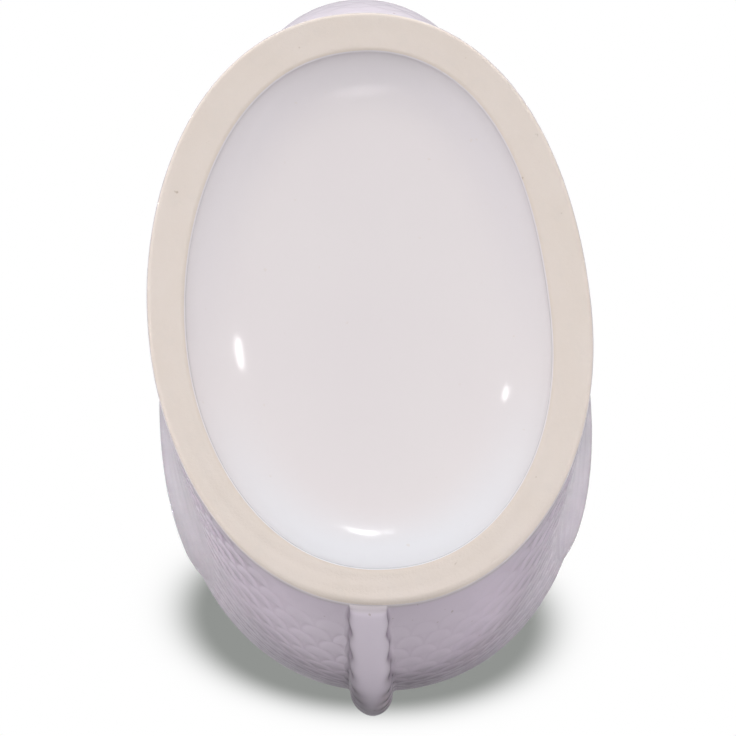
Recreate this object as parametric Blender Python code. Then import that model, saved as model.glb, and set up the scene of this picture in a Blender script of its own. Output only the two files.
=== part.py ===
# Fish-shaped gurgle jug in glazed earthenware, standing upright on an oval foot.
# The fish pours from its open mouth towards -Y. Its hollow tail curls up behind as the handle,
# and a port joins the tail's air chamber to the body, so that poured liquid gulps and gurgles.
# The clay pieces are luted together: each seam is a narrow gap between two neighbours.
# Left and right are those of someone who holds the tail and looks over the mouth: left is +X.

import math

import bmesh
import bpy
from mathutils import Matrix, Vector

MM = 0.001

# Luted seams
SEAM = 0.3 * MM
LAP_HEIGHT = 4 * MM

# Oval foot. Fronts and backs are reaches from the middle of the foot.
FOOT_WIDTH = 90 * MM
FOOT_LENGTH = 121.4 * MM
FOOT_HEIGHT = 3 * MM
FOOT_BAND_SIDE = 8.4 * MM
FOOT_BAND_END = 7.4 * MM
FOOT_CHAMFER = 0.6 * MM
FOOT_TWIST = math.radians(2.4)

# Recessed panel inside the foot
RECESS_DEPTH = 6.5 * MM
RECESS_COVE = 13 * MM
PANEL_RIM_HEIGHT = 0.8 * MM
PANEL_RIM_WIDTH = 0.8 * MM
PANEL_THICKNESS = 5 * MM

# Body and head: each level's share of the jug's height, its width, and its front and back reach
JUG_HEIGHT = 250 * MM
WALL = 5 * MM
FLANK_SHARE = 0.112
FLANK_WIDTH = 86.6 * MM
FLANK_FRONT = 73.4 * MM
FLANK_BACK = 60 * MM
BELLY_SHARE = 0.272
BELLY_WIDTH = 95.8 * MM
BELLY_FRONT = 74.6 * MM
BELLY_BACK = 51 * MM
BELLY_SWAY = -1 * MM
GILL_SHARE = 0.568
GILL_WIDTH = 91.2 * MM
GILL_FRONT = 67.5 * MM
GILL_BACK = 35 * MM
BROW_SHARE = 0.792
BROW_WIDTH = 85 * MM
BROW_FRONT = 60 * MM
BROW_BACK = 23 * MM
RIM_WIDTH = 73 * MM
RIM_FRONT = 61.5 * MM
RIM_BACK = 6 * MM
SQUARENESS = 2.15

# Mouth: the rim is highest at the back and dips at both corners, under a rolled lip
RIM_FRONT_DROP = 7 * MM
RIM_CORNER_DROP = 19 * MM
LIP_RADIUS = 5.6 * MM
LIP_SINK = 1.7 * MM

# Tail: the root, two pulls and the tip of its curved centre line
TAIL_ROOT_BACK = 30 * MM
TAIL_ROOT_HEIGHT = 35 * MM
TAIL_LOWER_PULL_BACK = 72 * MM
TAIL_LOWER_PULL_RISE = 12 * MM
TAIL_UPPER_PULL_BACK = 105 * MM
TAIL_UPPER_PULL_DROP = 54 * MM
TAIL_TIP_BACK = 72 * MM
TAIL_TIP_BELOW_BROW = 6 * MM
TAIL_ROOT_WIDTH = 64 * MM
TAIL_ROOT_DEPTH = 54 * MM
TAIL_TIP_WIDTH = 26 * MM
TAIL_TIP_DEPTH = 24 * MM
TAIL_TAPER = 1.6
TAIL_WALL = 5 * MM
TAIL_TIP_PLUG = 13 * MM
TAIL_PORT_REACH = 76 * MM

# Forked tail fin: its front lobe is luted to the back of the head. Places are from the tail's tip.
TAIL_FIN_SEAT_BELOW_BROW = 2 * MM
TAIL_FIN_SEAT_LENGTH = 21 * MM
TAIL_FIN_BITE = 3 * MM
TAIL_FIN_NOTCH = (-10 * MM, 28 * MM)
TAIL_FIN_HOLLOW = (7 * MM, 45 * MM)
TAIL_FIN_POINT = (26 * MM, 54 * MM)
TAIL_FIN_STOPS = (0.0, 0.27, 0.55, 0.8, 1.0)
TAIL_FIN_EDGE = 6 * MM
TAIL_FIN_ROOT_SHARE = 0.6
TAIL_FIN_RAYS = 9

# Ridge fins on the centre line
BELLY_FIN_BOTTOM = 2.5 * MM
BELLY_FIN_ABOVE_BELLY = 36 * MM
BELLY_FIN_CREST = 5.2 * MM
BELLY_FIN_THICKNESS = 7.8 * MM
BELLY_FIN_OFFSET = 1.8 * MM
BELLY_FIN_RAYS = 11
DORSAL_FIN_BELOW_GILL = 38 * MM
DORSAL_FIN_ABOVE_GILL = 36 * MM
DORSAL_FIN_CREST = 5 * MM
DORSAL_FIN_THICKNESS = 7 * MM
DORSAL_FIN_RAYS = 9
RIDGE_STUB = 0.8 * MM
RIDGE_ROUND = 1.2 * MM
RIDGE_FULLNESS = 0.7
RAY_RELIEF = 0.4 * MM

# Side fins fan down from below the gill covers
SIDE_FIN_ANGLE = math.radians(78)
SIDE_FIN_BELOW_GILL = 14 * MM
SIDE_FIN_ABOVE_FOOT = 1.5 * MM
SIDE_FIN_NECK = 22 * MM
SIDE_FIN_SPREAD = math.radians(35)
SIDE_FIN_ROUNDING = 1.5
SIDE_FIN_THICKNESS = 1.6 * MM
SIDE_FIN_THINNING = 1 * MM
SIDE_FIN_RELIEF = 0.25 * MM
SIDE_FIN_RAYS = 9

# Gill covers
GILL_COVER_ANGLE = math.radians(85)
GILL_COVER_ABOVE_GILL = 14 * MM
GILL_COVER_WIDTH = 54 * MM
GILL_COVER_HEIGHT = 44 * MM
GILL_COVER_RELIEF = 1.8 * MM
GILL_COVER_LIFT = 0.6 * MM
GILL_COVER_DRAFT = 0.8 * MM

# Eyes
EYE_ANGLE = math.radians(83)
EYE_ABOVE_BROW = 1 * MM
EYE_DIAMETER = 16 * MM
EYE_EDGE = 1.6 * MM
EYE_DOME = 4 * MM
EYE_FLAT_TOP = 2.5 * MM
EYE_RING_DIAMETER = 25 * MM
EYE_RING_RELIEF = 3.2 * MM

# Fineness of the faceted surfaces
AROUND = 48
AROUND_TAIL = 20
AROUND_PATCH = 24
FACETS_PER_RAY = 3

LILAC = (0.665, 0.605, 0.69, 1.0)
WHITE = (0.84, 0.80, 0.82, 1.0)
BISQUE = (0.72, 0.64, 0.565, 1.0)

FULL_TURN = 2 * math.pi
FLANK_HEIGHT = JUG_HEIGHT * FLANK_SHARE
BELLY_HEIGHT = JUG_HEIGHT * BELLY_SHARE
GILL_HEIGHT = JUG_HEIGHT * GILL_SHARE
BROW_HEIGHT = JUG_HEIGHT * BROW_SHARE
RIM_HEIGHT = JUG_HEIGHT - (SEAM + 2 * LIP_RADIUS - LIP_SINK)
TAIL_TIP_HEIGHT = BROW_HEIGHT - TAIL_TIP_BELOW_BROW
EYE_HEIGHT = BROW_HEIGHT + EYE_ABOVE_BROW


def clear_scene():
    for old in list(bpy.data.objects):
        bpy.data.objects.remove(old)


def glaze(name, colour, roughness):
    material = bpy.data.materials.new(name)
    material.use_nodes = True
    shader = material.node_tree.nodes["Principled BSDF"]
    shader.inputs["Base Color"].default_value = colour
    shader.inputs["Roughness"].default_value = roughness
    shader.inputs["Metallic"].default_value = 0.0
    return material


def ease(share):
    share = min(max(share, 0.0), 1.0)
    return share * share * (3 - 2 * share)


def through(position, stops, values):
    """A smooth curve through values at stops: cubic pieces whose slopes follow the neighbours."""
    last = len(stops) - 1
    position = min(max(position, stops[0]), stops[last])
    slopes = []
    for i in range(last + 1):
        low, high = max(i - 1, 0), min(i + 1, last)
        slopes.append((values[high] - values[low]) / (stops[high] - stops[low]))
    i = max(k for k in range(last) if stops[k] <= position)
    span = stops[i + 1] - stops[i]
    t = (position - stops[i]) / span
    return (
        values[i] * (1 + 2 * t) * (1 - t) ** 2
        + slopes[i] * span * t * (1 - t) ** 2
        + values[i + 1] * t * t * (3 - 2 * t)
        - slopes[i + 1] * span * t * t * (1 - t)
    )


LEVELS = (0.0, FLANK_HEIGHT, BELLY_HEIGHT, GILL_HEIGHT, BROW_HEIGHT, RIM_HEIGHT)
WIDTHS = (FOOT_WIDTH, FLANK_WIDTH, BELLY_WIDTH, GILL_WIDTH, BROW_WIDTH, RIM_WIDTH)
FRONTS = (FOOT_LENGTH / 2, FLANK_FRONT, BELLY_FRONT, GILL_FRONT, BROW_FRONT, RIM_FRONT)
BACKS = (FOOT_LENGTH / 2, FLANK_BACK, BELLY_BACK, GILL_BACK, BROW_BACK, RIM_BACK)


def oval(angle, half_width, half_length, middle, twist, height):
    """A point of a rounded oval. Angle 0 is the front, -Y, and a quarter turn is the left, +X."""
    side, along = math.sin(angle), math.cos(angle)
    power = 2 / SQUARENESS
    x = math.copysign(abs(side) ** power, side) * half_width
    y = -math.copysign(abs(along) ** power, along) * half_length
    turned_x = x * math.cos(twist) + y * math.sin(twist)
    turned_y = -x * math.sin(twist) + y * math.cos(twist)
    return Vector((turned_x, turned_y + middle, height))


def twist_at(height):
    return FOOT_TWIST * (1 - ease(height / GILL_HEIGHT))


def sway_at(height):
    """The belly leans a little to one side over the foot, and the gills are back in line."""
    above = (height - BELLY_HEIGHT) / (GILL_HEIGHT - BELLY_HEIGHT)
    return BELLY_SWAY * ease(height / BELLY_HEIGHT) * (1 - ease(above))


def skin(angle, height, grow=0.0):
    """A point of the fish's outer skin, grown outwards level by level."""
    front = through(height, LEVELS, FRONTS)
    back = through(height, LEVELS, BACKS)
    half_width = through(height, LEVELS, WIDTHS) / 2 + grow
    half_length = (front + back) / 2 + grow
    point = oval(angle, half_width, half_length, (back - front) / 2, twist_at(height), height)
    return point + Vector((sway_at(height), 0, 0))


def skin_ring(height, grow=0.0):
    return [skin(FULL_TURN * i / AROUND, height, grow) for i in range(AROUND)]


def skin_at_x(start_angle, x, height, grow):
    """The skin's point with this x, sought from the front (angle 0) or the back (half a turn)."""
    angle, step = start_angle, 1e-3
    for _ in range(12):
        here = skin(angle, height, grow).x
        slope = (skin(angle + step, height, grow).x - here) / step
        angle += (x - here) / slope
    return skin(angle, height, grow)


def tail_centre(share):
    """Centre and direction of the tail at a share of its curve, in the Y-Z plane."""
    p0 = Vector((0, TAIL_ROOT_BACK, TAIL_ROOT_HEIGHT))
    p1 = Vector((0, TAIL_LOWER_PULL_BACK, TAIL_ROOT_HEIGHT + TAIL_LOWER_PULL_RISE))
    p2 = Vector((0, TAIL_UPPER_PULL_BACK, TAIL_TIP_HEIGHT - TAIL_UPPER_PULL_DROP))
    p3 = Vector((0, TAIL_TIP_BACK, TAIL_TIP_HEIGHT))
    rest = 1 - share
    centre = p0 * rest**3 + p1 * 3 * rest**2 * share + p2 * 3 * rest * share**2 + p3 * share**3
    along = (p1 - p0) * rest**2 + (p2 - p1) * 2 * rest * share + (p3 - p2) * share**2
    return centre, along.normalized()


def tail_share(length):
    """The share of the tail's curve that has this length, counted from the root."""
    points = [tail_centre(share)[0] for share in steps(0.0, 1.0, 40)]
    whole = sum((b - a).length for a, b in zip(points, points[1:]))
    return length / whole if length >= 0 else 1 + length / whole


def tail_ring(share, inset=0.0):
    centre, along = tail_centre(share)
    inward = Vector((0, -along.z, along.y))
    taper = (1 - share) ** TAIL_TAPER
    half_width = (TAIL_TIP_WIDTH + (TAIL_ROOT_WIDTH - TAIL_TIP_WIDTH) * taper) / 2 - inset
    half_depth = (TAIL_TIP_DEPTH + (TAIL_ROOT_DEPTH - TAIL_TIP_DEPTH) * taper) / 2 - inset
    ring = []
    for i in range(AROUND_TAIL):
        turn = FULL_TURN * i / AROUND_TAIL
        across = Vector((half_width * math.cos(turn), 0, 0))
        ring.append(centre + across + inward * half_depth * math.sin(turn))
    return ring


def loft(name, rings, material, loop=False, helper=False):
    """A closed solid through rings of equally many points, capped at both ends or joined in a loop."""
    mesh = bmesh.new()
    loops = [[mesh.verts.new(point) for point in ring] for ring in rings]
    pairs = list(zip(loops, loops[1:]))
    if loop:
        pairs.append((loops[-1], loops[0]))
    else:
        mesh.faces.new(loops[0])
        mesh.faces.new(loops[-1])
    for low, high in pairs:
        for i in range(len(low)):
            j = (i + 1) % len(low)
            mesh.faces.new((low[i], low[j], high[j], high[i]))
    bmesh.ops.recalc_face_normals(mesh, faces=mesh.faces)
    data = bpy.data.meshes.new(name)
    mesh.to_mesh(data)
    mesh.free()
    data.shade_smooth()
    data.set_sharp_from_angle(angle=math.radians(40))
    data.materials.append(material)
    piece = bpy.data.objects.new(name, data)
    bpy.context.scene.collection.objects.link(piece)
    if helper:
        piece.hide_render = True
        piece.display_type = "WIRE"
    return piece


def cut(piece, cutter):
    modifier = piece.modifiers.new("cut_" + cutter.name, "BOOLEAN")
    modifier.operation = "DIFFERENCE"
    modifier.solver = "EXACT"
    modifier.object = cutter
    return piece


def steps(low, high, count):
    return [low + (high - low) * i / count for i in range(count + 1)]


# Foot and base

def foot_oval(inset, height):
    half_width = FOOT_WIDTH / 2 - FOOT_BAND_SIDE - inset
    half_length = FOOT_LENGTH / 2 - FOOT_BAND_END - inset
    twist = twist_at(height)
    return [
        oval(FULL_TURN * i / AROUND, half_width, half_length, 0.0, twist, height)
        for i in range(AROUND)
    ]


def make_foot_ring(material):
    rings = [
        skin_ring(FOOT_HEIGHT),
        skin_ring(FOOT_CHAMFER),
        skin_ring(0.0, -FOOT_CHAMFER),
        foot_oval(-FOOT_CHAMFER, 0.0),
        foot_oval(0.0, FOOT_CHAMFER),
        foot_oval(0.0, FOOT_HEIGHT),
    ]
    return loft("foot_ring", rings, material, loop=True)


def make_base_panel(material):
    """A shallow tray: its coved plug fits inside the foot ring, and its flange lies on the ring."""
    cove_steps = 4
    rings = []
    for i in range(cove_steps + 1):
        turn = math.pi / 2 * i / cove_steps
        inset = SEAM + PANEL_RIM_WIDTH + RECESS_COVE * (1 - math.sin(turn))
        height = PANEL_RIM_HEIGHT + (RECESS_DEPTH - PANEL_RIM_HEIGHT) * math.cos(turn)
        rings.append(foot_oval(inset, height))
    shelf = FOOT_HEIGHT + SEAM
    rings += [
        foot_oval(SEAM, PANEL_RIM_HEIGHT),
        foot_oval(SEAM, shelf),
        skin_ring(shelf, -WALL - SEAM),
        skin_ring(RECESS_DEPTH + PANEL_THICKNESS, -WALL - SEAM),
    ]
    return loft("base_panel", rings, material)


# Body and head

def rim_height(angle):
    along = math.cos(angle)
    corner = RIM_HEIGHT - RIM_CORNER_DROP
    end = RIM_HEIGHT - (RIM_FRONT_DROP if along > 0 else 0.0)
    return corner + (end - corner) * along * along


def make_body_shell(material, port_cutter):
    """The trunk. A half-thickness spigot on top carries the head."""
    bottom = FOOT_HEIGHT + SEAM
    outer = steps(bottom, BELLY_HEIGHT, 7) + steps(BELLY_HEIGHT, GILL_HEIGHT, 5)[1:]
    spigot_top = GILL_HEIGHT + LAP_HEIGHT
    rings = [skin_ring(height) for height in outer]
    rings += [
        skin_ring(GILL_HEIGHT, -WALL / 2),
        skin_ring(spigot_top, -WALL / 2),
        skin_ring(spigot_top, -WALL),
    ]
    rings += [skin_ring(height, -WALL) for height in reversed(outer)]
    return cut(loft("body_shell", rings, material, loop=True), port_cutter)


def make_head_shell(material):
    """The head, from the lap over the spigot up to the mouth's rim."""
    bottom = GILL_HEIGHT + SEAM
    lap_top = GILL_HEIGHT + LAP_HEIGHT + SEAM
    rows = 8

    def risen(low, share, grow):
        ring = []
        for i in range(AROUND):
            angle = FULL_TURN * i / AROUND
            ring.append(skin(angle, low + (rim_height(angle) - low) * share, grow))
        return ring

    rings = [risen(bottom, i / rows, 0.0) for i in range(rows + 1)]
    rings += [risen(lap_top, i / rows, -WALL) for i in range(rows, -1, -1)]
    rings += [
        skin_ring(lap_top, -WALL / 2 + SEAM),
        skin_ring(bottom, -WALL / 2 + SEAM),
    ]
    return loft("head_shell", rings, material, loop=True)


def make_mouth_lip(material):
    """A rolled bead with a flat underside, seated on the rim all the way round."""
    facets = 9
    start = math.asin(LIP_SINK / LIP_RADIUS - 1)
    rings = []
    for k in range(facets + 1):
        turn = start + (math.pi - 2 * start) * k / facets
        grow = -WALL / 2 + LIP_RADIUS * math.cos(turn)
        rise = SEAM + LIP_RADIUS * (1 + math.sin(turn)) - LIP_SINK
        ring = []
        for i in range(AROUND):
            angle = FULL_TURN * i / AROUND
            seat = skin(angle, rim_height(angle), grow)
            ring.append(seat + Vector((0, 0, rise)))
        rings.append(ring)
    return loft("mouth_lip", rings, material, loop=True)


def make_body_envelope(material):
    """The fish's outer form grown by one seam: it trims what is luted against the skin."""
    heights = steps(0.0, BELLY_HEIGHT, 8) + steps(BELLY_HEIGHT, RIM_HEIGHT, 12)[1:]
    rings = [skin_ring(height, SEAM) for height in heights]
    return loft("body_envelope", rings, material, helper=True)


# Tail

def make_port_cutter(material):
    rings = [tail_ring(share, TAIL_WALL) for share in steps(0.0, tail_share(TAIL_PORT_REACH), 5)]
    return loft("tail_port_cutter", rings, material, helper=True)


def make_tail_tube(material, envelope):
    """The handle: a hollow tail, open into the body below and closed above."""
    outer = [tail_ring(share) for share in steps(1.0, 0.0, 13)]
    chamber_end = tail_share(-TAIL_TIP_PLUG)
    bore = [tail_ring(share, TAIL_WALL) for share in steps(0.0, chamber_end, 11)]
    return cut(loft("tail_tube", outer + bore, material), envelope)


def make_tail_fin(material, envelope):
    """A forked fan on the tail's end. Rays ripple both faces, and the front lobe meets the head."""
    tip, along = tail_centre(1.0)
    inward = Vector((0, -along.z, along.y))
    tip += along * SEAM
    seat_low = BROW_HEIGHT - TAIL_FIN_SEAT_BELOW_BROW
    edge = []
    for height in (seat_low, seat_low + TAIL_FIN_SEAT_LENGTH):
        edge.append((skin(math.pi, height).y - TAIL_FIN_BITE, height))
    for back, up in (TAIL_FIN_NOTCH, TAIL_FIN_HOLLOW, TAIL_FIN_POINT):
        edge.append((tip.y + back, tip.z + up))
    rows, columns = 6, TAIL_FIN_RAYS * FACETS_PER_RAY
    rings = []
    for across in steps(0.0, 1.0, columns):
        root = tip + inward * (TAIL_TIP_DEPTH / 2) * (1 - 2 * across)
        free = [through(across, TAIL_FIN_STOPS, [place[k] for place in edge]) for k in (0, 1)]
        free = Vector((0, *free))
        bulge = math.sqrt(max(1 - (1 - 2 * across) ** 2, 0.0)) * TAIL_TIP_WIDTH / 2
        ripple = RAY_RELIEF * math.cos(FULL_TURN * TAIL_FIN_RAYS * across)
        near_side, far_side = [], []
        for out in steps(0.0, 1.0, rows):
            thinned = bulge * (1 - ease(out / TAIL_FIN_ROOT_SHARE))
            half = max(thinned, TAIL_FIN_EDGE / 2) + ripple * ease(out * 2)
            point = root.lerp(free, out)
            near_side.append(point + Vector((half, 0, 0)))
            far_side.append(point - Vector((half, 0, 0)))
        rings.append(near_side + far_side[::-1])
    return cut(loft("tail_fin", rings, material), envelope)


# Fins and relief on the skin

def make_ridge_fin(name, material, start_angle, x, low, high, crest, thickness, rays):
    """A fin along the centre line of the front or the back, with rays that ripple its sides."""
    outward = -1 if start_angle == 0.0 else 1
    rings = []
    for share in steps(0.0, 1.0, rays * FACETS_PER_RAY):
        height = low + (high - low) * share
        top = RIDGE_STUB + crest * max(math.sin(math.pi * share), 0.0) ** RIDGE_FULLNESS
        shoulder = max(top - RIDGE_ROUND, top / 2)
        half = thickness / 2 + RAY_RELIEF * math.cos(FULL_TURN * rays * share)
        spine = skin_at_x(start_angle, x, height, SEAM).y
        ring = []
        for side in (-1, 1):
            root = skin_at_x(start_angle, x + side * half, height, SEAM)
            flank = Vector((root.x, spine + outward * shoulder, height))
            edge = Vector((x + side * (half - RIDGE_ROUND), spine + outward * top, height))
            ring += [root, flank, edge] if side < 0 else [edge, flank, root]
        rings.append(ring)
    return loft(name, rings, material)


def on_skin(side, angle, height, across, up, proud):
    """A point of the skin at a distance across and up from a place on one flank."""
    speed = (skin(angle + 1e-3, height) - skin(angle, height)).length / 1e-3
    point = skin(angle + across / speed, height + up, SEAM + proud)
    mirrored = skin(FULL_TURN - angle - across / speed, height + up, SEAM + proud)
    return point if side > 0 else mirrored


def make_side_fin(name, material, side):
    """A fan that lies on the flank and widens downwards from its neck."""
    rows = 12
    top = GILL_HEIGHT - SIDE_FIN_BELOW_GILL
    length = top - FOOT_HEIGHT - SIDE_FIN_ABOVE_FOOT
    rings = []
    for across in steps(-0.5, 0.5, SIDE_FIN_RAYS * FACETS_PER_RAY):
        turn = SIDE_FIN_SPREAD * across
        reach = length * (1 - SIDE_FIN_ROUNDING * across * across)
        ripple = SIDE_FIN_RELIEF * math.cos(FULL_TURN * SIDE_FIN_RAYS * across)
        under, over = [], []
        for out in steps(0.0, 1.0, rows):
            radius = SIDE_FIN_NECK + reach * out
            sideways = radius * math.sin(turn)
            up = SIDE_FIN_NECK - radius * math.cos(turn)
            proud = SIDE_FIN_THICKNESS - SIDE_FIN_THINNING * out + ripple
            under.append(on_skin(side, SIDE_FIN_ANGLE, top, sideways, up, 0.0))
            over.append(on_skin(side, SIDE_FIN_ANGLE, top, sideways, up, proud))
        rings.append(under + over[::-1])
    return loft(name, rings, material)


def patch_ring(side, angle, height, half_width, half_height, proud):
    ring = []
    for i in range(AROUND_PATCH):
        turn = FULL_TURN * i / AROUND_PATCH
        across, up = half_width * math.cos(turn), half_height * math.sin(turn)
        ring.append(on_skin(side, angle, height, across, up, proud(turn)))
    return ring


def make_gill_cover(name, material, side):
    """A rounded plate behind the cheek, proudest along its lower, free edge."""
    middle = GILL_HEIGHT + GILL_COVER_ABOVE_GILL
    half_width, half_height = GILL_COVER_WIDTH / 2, GILL_COVER_HEIGHT / 2

    def ring(size, inset, proud):
        across, up = half_width * size - inset, half_height * size - inset
        return patch_ring(side, GILL_COVER_ANGLE, middle, across, up, proud)

    def plate(turn):
        return GILL_COVER_RELIEF - GILL_COVER_LIFT * math.sin(turn)

    inner = [ring(size, 0.0, lambda turn: 0.0) for size in (0.25, 0.5, 0.75, 1.0)]
    outer = [ring(size, GILL_COVER_DRAFT, plate) for size in (1.0, 0.75, 0.5, 0.25)]
    return loft(name, inner + outer, material)


def make_eye(name, material, side):
    radius = EYE_DIAMETER / 2

    def ring(size, proud):
        across = radius * size
        return patch_ring(side, EYE_ANGLE, EYE_HEIGHT, across, across, lambda turn: proud)

    inner = [ring(size, 0.0) for size in (0.4, 1.0)]
    outer = []
    last_turn = math.acos(EYE_FLAT_TOP / EYE_DIAMETER)
    for turn in steps(0.0, last_turn, 4):
        outer.append(ring(math.cos(turn), EYE_EDGE + EYE_DOME * math.sin(turn)))
    return loft(name, inner + outer, material)


def make_eye_ring(name, material, side):
    """A rounded collar of clay round the eye."""
    inside, outside = EYE_DIAMETER / 2 + SEAM, EYE_RING_DIAMETER / 2
    middle, half = (inside + outside) / 2, (outside - inside) / 2
    section = [(inside, 0.0), (outside, 0.0)]
    for k in range(1, 6):
        turn = math.pi * k / 6
        section.append((middle + half * math.cos(turn), EYE_RING_RELIEF * math.sin(turn)))
    rings = []
    for radius, proud in section:
        ring = patch_ring(side, EYE_ANGLE, EYE_HEIGHT, radius, radius, lambda turn: proud)
        rings.append(ring)
    return loft(name, rings, material, loop=True)


def centre_plan():
    """Puts the origin under the middle of the jug's width and length."""
    pieces = [piece for piece in bpy.data.objects if not piece.hide_render]
    points = [vertex.co for piece in pieces for vertex in piece.data.vertices]
    middle = [(min(p[k] for p in points) + max(p[k] for p in points)) / 2 for k in (0, 1)]
    shift = Matrix.Translation((-middle[0], -middle[1], 0))
    for piece in bpy.data.objects:
        piece.data.transform(shift)


def main():
    clear_scene()
    lilac = glaze("lilac_glaze", LILAC, 0.2)
    white = glaze("white_glaze", WHITE, 0.15)
    bisque = glaze("bare_bisque", BISQUE, 0.85)
    envelope = make_body_envelope(lilac)
    port_cutter = make_port_cutter(lilac)
    make_foot_ring(bisque)
    make_base_panel(white)
    make_body_shell(lilac, port_cutter)
    make_head_shell(lilac)
    make_mouth_lip(lilac)
    make_tail_tube(lilac, envelope)
    make_tail_fin(lilac, envelope)
    make_ridge_fin(
        "belly_fin", lilac, 0.0, BELLY_FIN_OFFSET,
        BELLY_FIN_BOTTOM, BELLY_HEIGHT + BELLY_FIN_ABOVE_BELLY,
        BELLY_FIN_CREST, BELLY_FIN_THICKNESS, BELLY_FIN_RAYS,
    )
    make_ridge_fin(
        "dorsal_fin", lilac, math.pi, 0.0,
        GILL_HEIGHT - DORSAL_FIN_BELOW_GILL, GILL_HEIGHT + DORSAL_FIN_ABOVE_GILL,
        DORSAL_FIN_CREST, DORSAL_FIN_THICKNESS, DORSAL_FIN_RAYS,
    )
    for word, side in (("left", 1), ("right", -1)):
        make_side_fin(word + "_side_fin", lilac, side)
        make_gill_cover(word + "_gill_cover", lilac, side)
        make_eye(word + "_eye", lilac, side)
        make_eye_ring(word + "_eye_ring", lilac, side)
    centre_plan()


main()
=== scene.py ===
import math
from functools import partialmethod

import bmesh
import bpy
import numpy as np
from mathutils import Matrix, Vector


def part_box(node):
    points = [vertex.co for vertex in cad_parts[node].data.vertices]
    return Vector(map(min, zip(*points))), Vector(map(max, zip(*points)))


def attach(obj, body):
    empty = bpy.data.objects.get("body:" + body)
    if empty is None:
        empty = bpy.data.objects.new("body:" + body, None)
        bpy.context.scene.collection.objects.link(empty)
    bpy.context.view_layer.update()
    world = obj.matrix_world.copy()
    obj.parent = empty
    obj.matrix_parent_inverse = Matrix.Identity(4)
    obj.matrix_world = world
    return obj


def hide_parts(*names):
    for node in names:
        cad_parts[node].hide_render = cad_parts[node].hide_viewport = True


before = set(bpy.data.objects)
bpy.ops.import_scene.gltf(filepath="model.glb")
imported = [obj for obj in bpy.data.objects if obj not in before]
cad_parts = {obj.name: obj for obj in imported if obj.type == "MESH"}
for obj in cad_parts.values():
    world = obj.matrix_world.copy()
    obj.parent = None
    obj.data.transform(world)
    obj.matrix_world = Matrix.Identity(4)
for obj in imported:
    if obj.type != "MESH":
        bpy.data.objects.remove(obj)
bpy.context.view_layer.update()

mm = 0.001
fullTurn, quarterTurn = 2 * math.pi, math.pi / 2
footLow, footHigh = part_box("foot_ring")
footMiddle = np.array([(footLow[0] + footHigh[0]) / 2, (footLow[1] + footHigh[1]) / 2, 0.0])
print("frame loaded,", len(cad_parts), "nodes")


# Sizes that are given in millimetres
def inMm(**sizes):
    return {
        key: tuple(n * mm for n in size) if isinstance(size, tuple) else size * mm
        for key, size in sizes.items()
    }


def putObject(name, data):
    made = bpy.data.objects.new(name, data)
    bpy.context.scene.collection.objects.link(made)
    return made


# The fish's skin: widths and front and back reaches at six levels, as the solids have them
skinShape = {
    **inMm(bellySway=-1, wall=5, seam=0.3),
    "squareness": 2.15, "around": 400,
    "levels": np.array([0, 28, 68, 142, 198, 240.2]) * mm,
    "widths": np.array([90, 86.6, 95.8, 91.2, 85, 73]) * mm,
    "fronts": np.array([60.7, 73.4, 74.6, 67.5, 60, 61.5]) * mm,
    "backs": np.array([60.7, 60, 51, 35, 23, 6]) * mm,
    "footTwist": math.radians(2.4),
    "tuck": 0.3 * mm,  # how far edges of pieces on the skin dip into it
    "bury": 1.2 * mm,  # how far their undersides lie in it
}
bellyLevel, gillLevel, browLevel, rimLevel = skinShape["levels"][2:]
wall, seam, tuck, bury, around = (skinShape[key] for key in ("wall", "seam", "tuck", "bury", "around"))


def ease(share):
    share = np.clip(share, 0.0, 1.0)
    return share * share * (3 - 2 * share)


# An eased step from 0 to 1
def step(value, start, span):
    return ease((value - start) / span)


def bell(value, middle, width):
    return np.exp(-(((value - middle) / width) ** 2))


def roundEdge(share):
    return np.sqrt(1 - (1 - np.clip(share, 0, 1)) ** 2)


def turns(count):
    return np.linspace(0, fullTurn, count, endpoint=False)


def runAlong(points):
    steps = np.linalg.norm(np.diff(points, axis=0), axis=-1)
    return np.concatenate([np.zeros((1, *steps.shape[1:])), np.cumsum(steps, 0)])


# A smooth curve through values at stops
def through(position, stops, values):
    stops, values = np.asarray(stops, float), np.asarray(values, float)
    last = len(stops) - 1
    low = np.maximum(np.arange(last + 1) - 1, 0)
    high = np.minimum(np.arange(last + 1) + 1, last)
    slopes = (values[high] - values[low]) / (stops[high] - stops[low])
    position = np.clip(position, stops[0], stops[-1])
    k = np.clip(np.searchsorted(stops, position, side="right") - 1, 0, last - 1)
    span = stops[k + 1] - stops[k]
    t = (position - stops[k]) / span
    return (
        values[k] * (1 + 2 * t) * (1 - t) ** 2
        + slopes[k] * span * t * (1 - t) ** 2
        + values[k + 1] * t * t * (3 - 2 * t)
        - slopes[k + 1] * span * t * t * (1 - t)
    )


# Sine and cosine of a squarish oval
def squarish(angle):
    power = 2 / skinShape["squareness"]
    return (np.sign(part) * np.abs(part) ** power for part in (np.sin(angle), np.cos(angle)))


def oval(angle, halfWidth, halfLength, middle, twist, height):
    side, along = squarish(angle)
    x, y = side * halfWidth, -along * halfLength
    turnedX = x * np.cos(twist) + y * np.sin(twist)
    turnedY = -x * np.sin(twist) + y * np.cos(twist) + middle
    return np.stack(np.broadcast_arrays(turnedX, turnedY, height), -1) + footMiddle


def twistAt(height):
    return skinShape["footTwist"] * (1 - ease(height / gillLevel))


def swayAt(height):
    above = step(height, bellyLevel, gillLevel - bellyLevel)
    return skinShape["bellySway"] * ease(height / bellyLevel) * (1 - above)


# The foot is a little uneven, as a hand leaves it: 1 to 4 waves per turn, cosine and sine, dying out upwards
footWaves = {
    "outer": np.array([(-0.26, -0.43), (0.24, -0.21), (-0.36, -0.26), (0.19, 0.11)]) * mm,
    "inner": np.array([(0.56, -0.24), (-0.04, 0.09), (-0.36, -0.50), (0.02, 0.13)]) * mm,
    "fade": 36 * mm,
}


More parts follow.
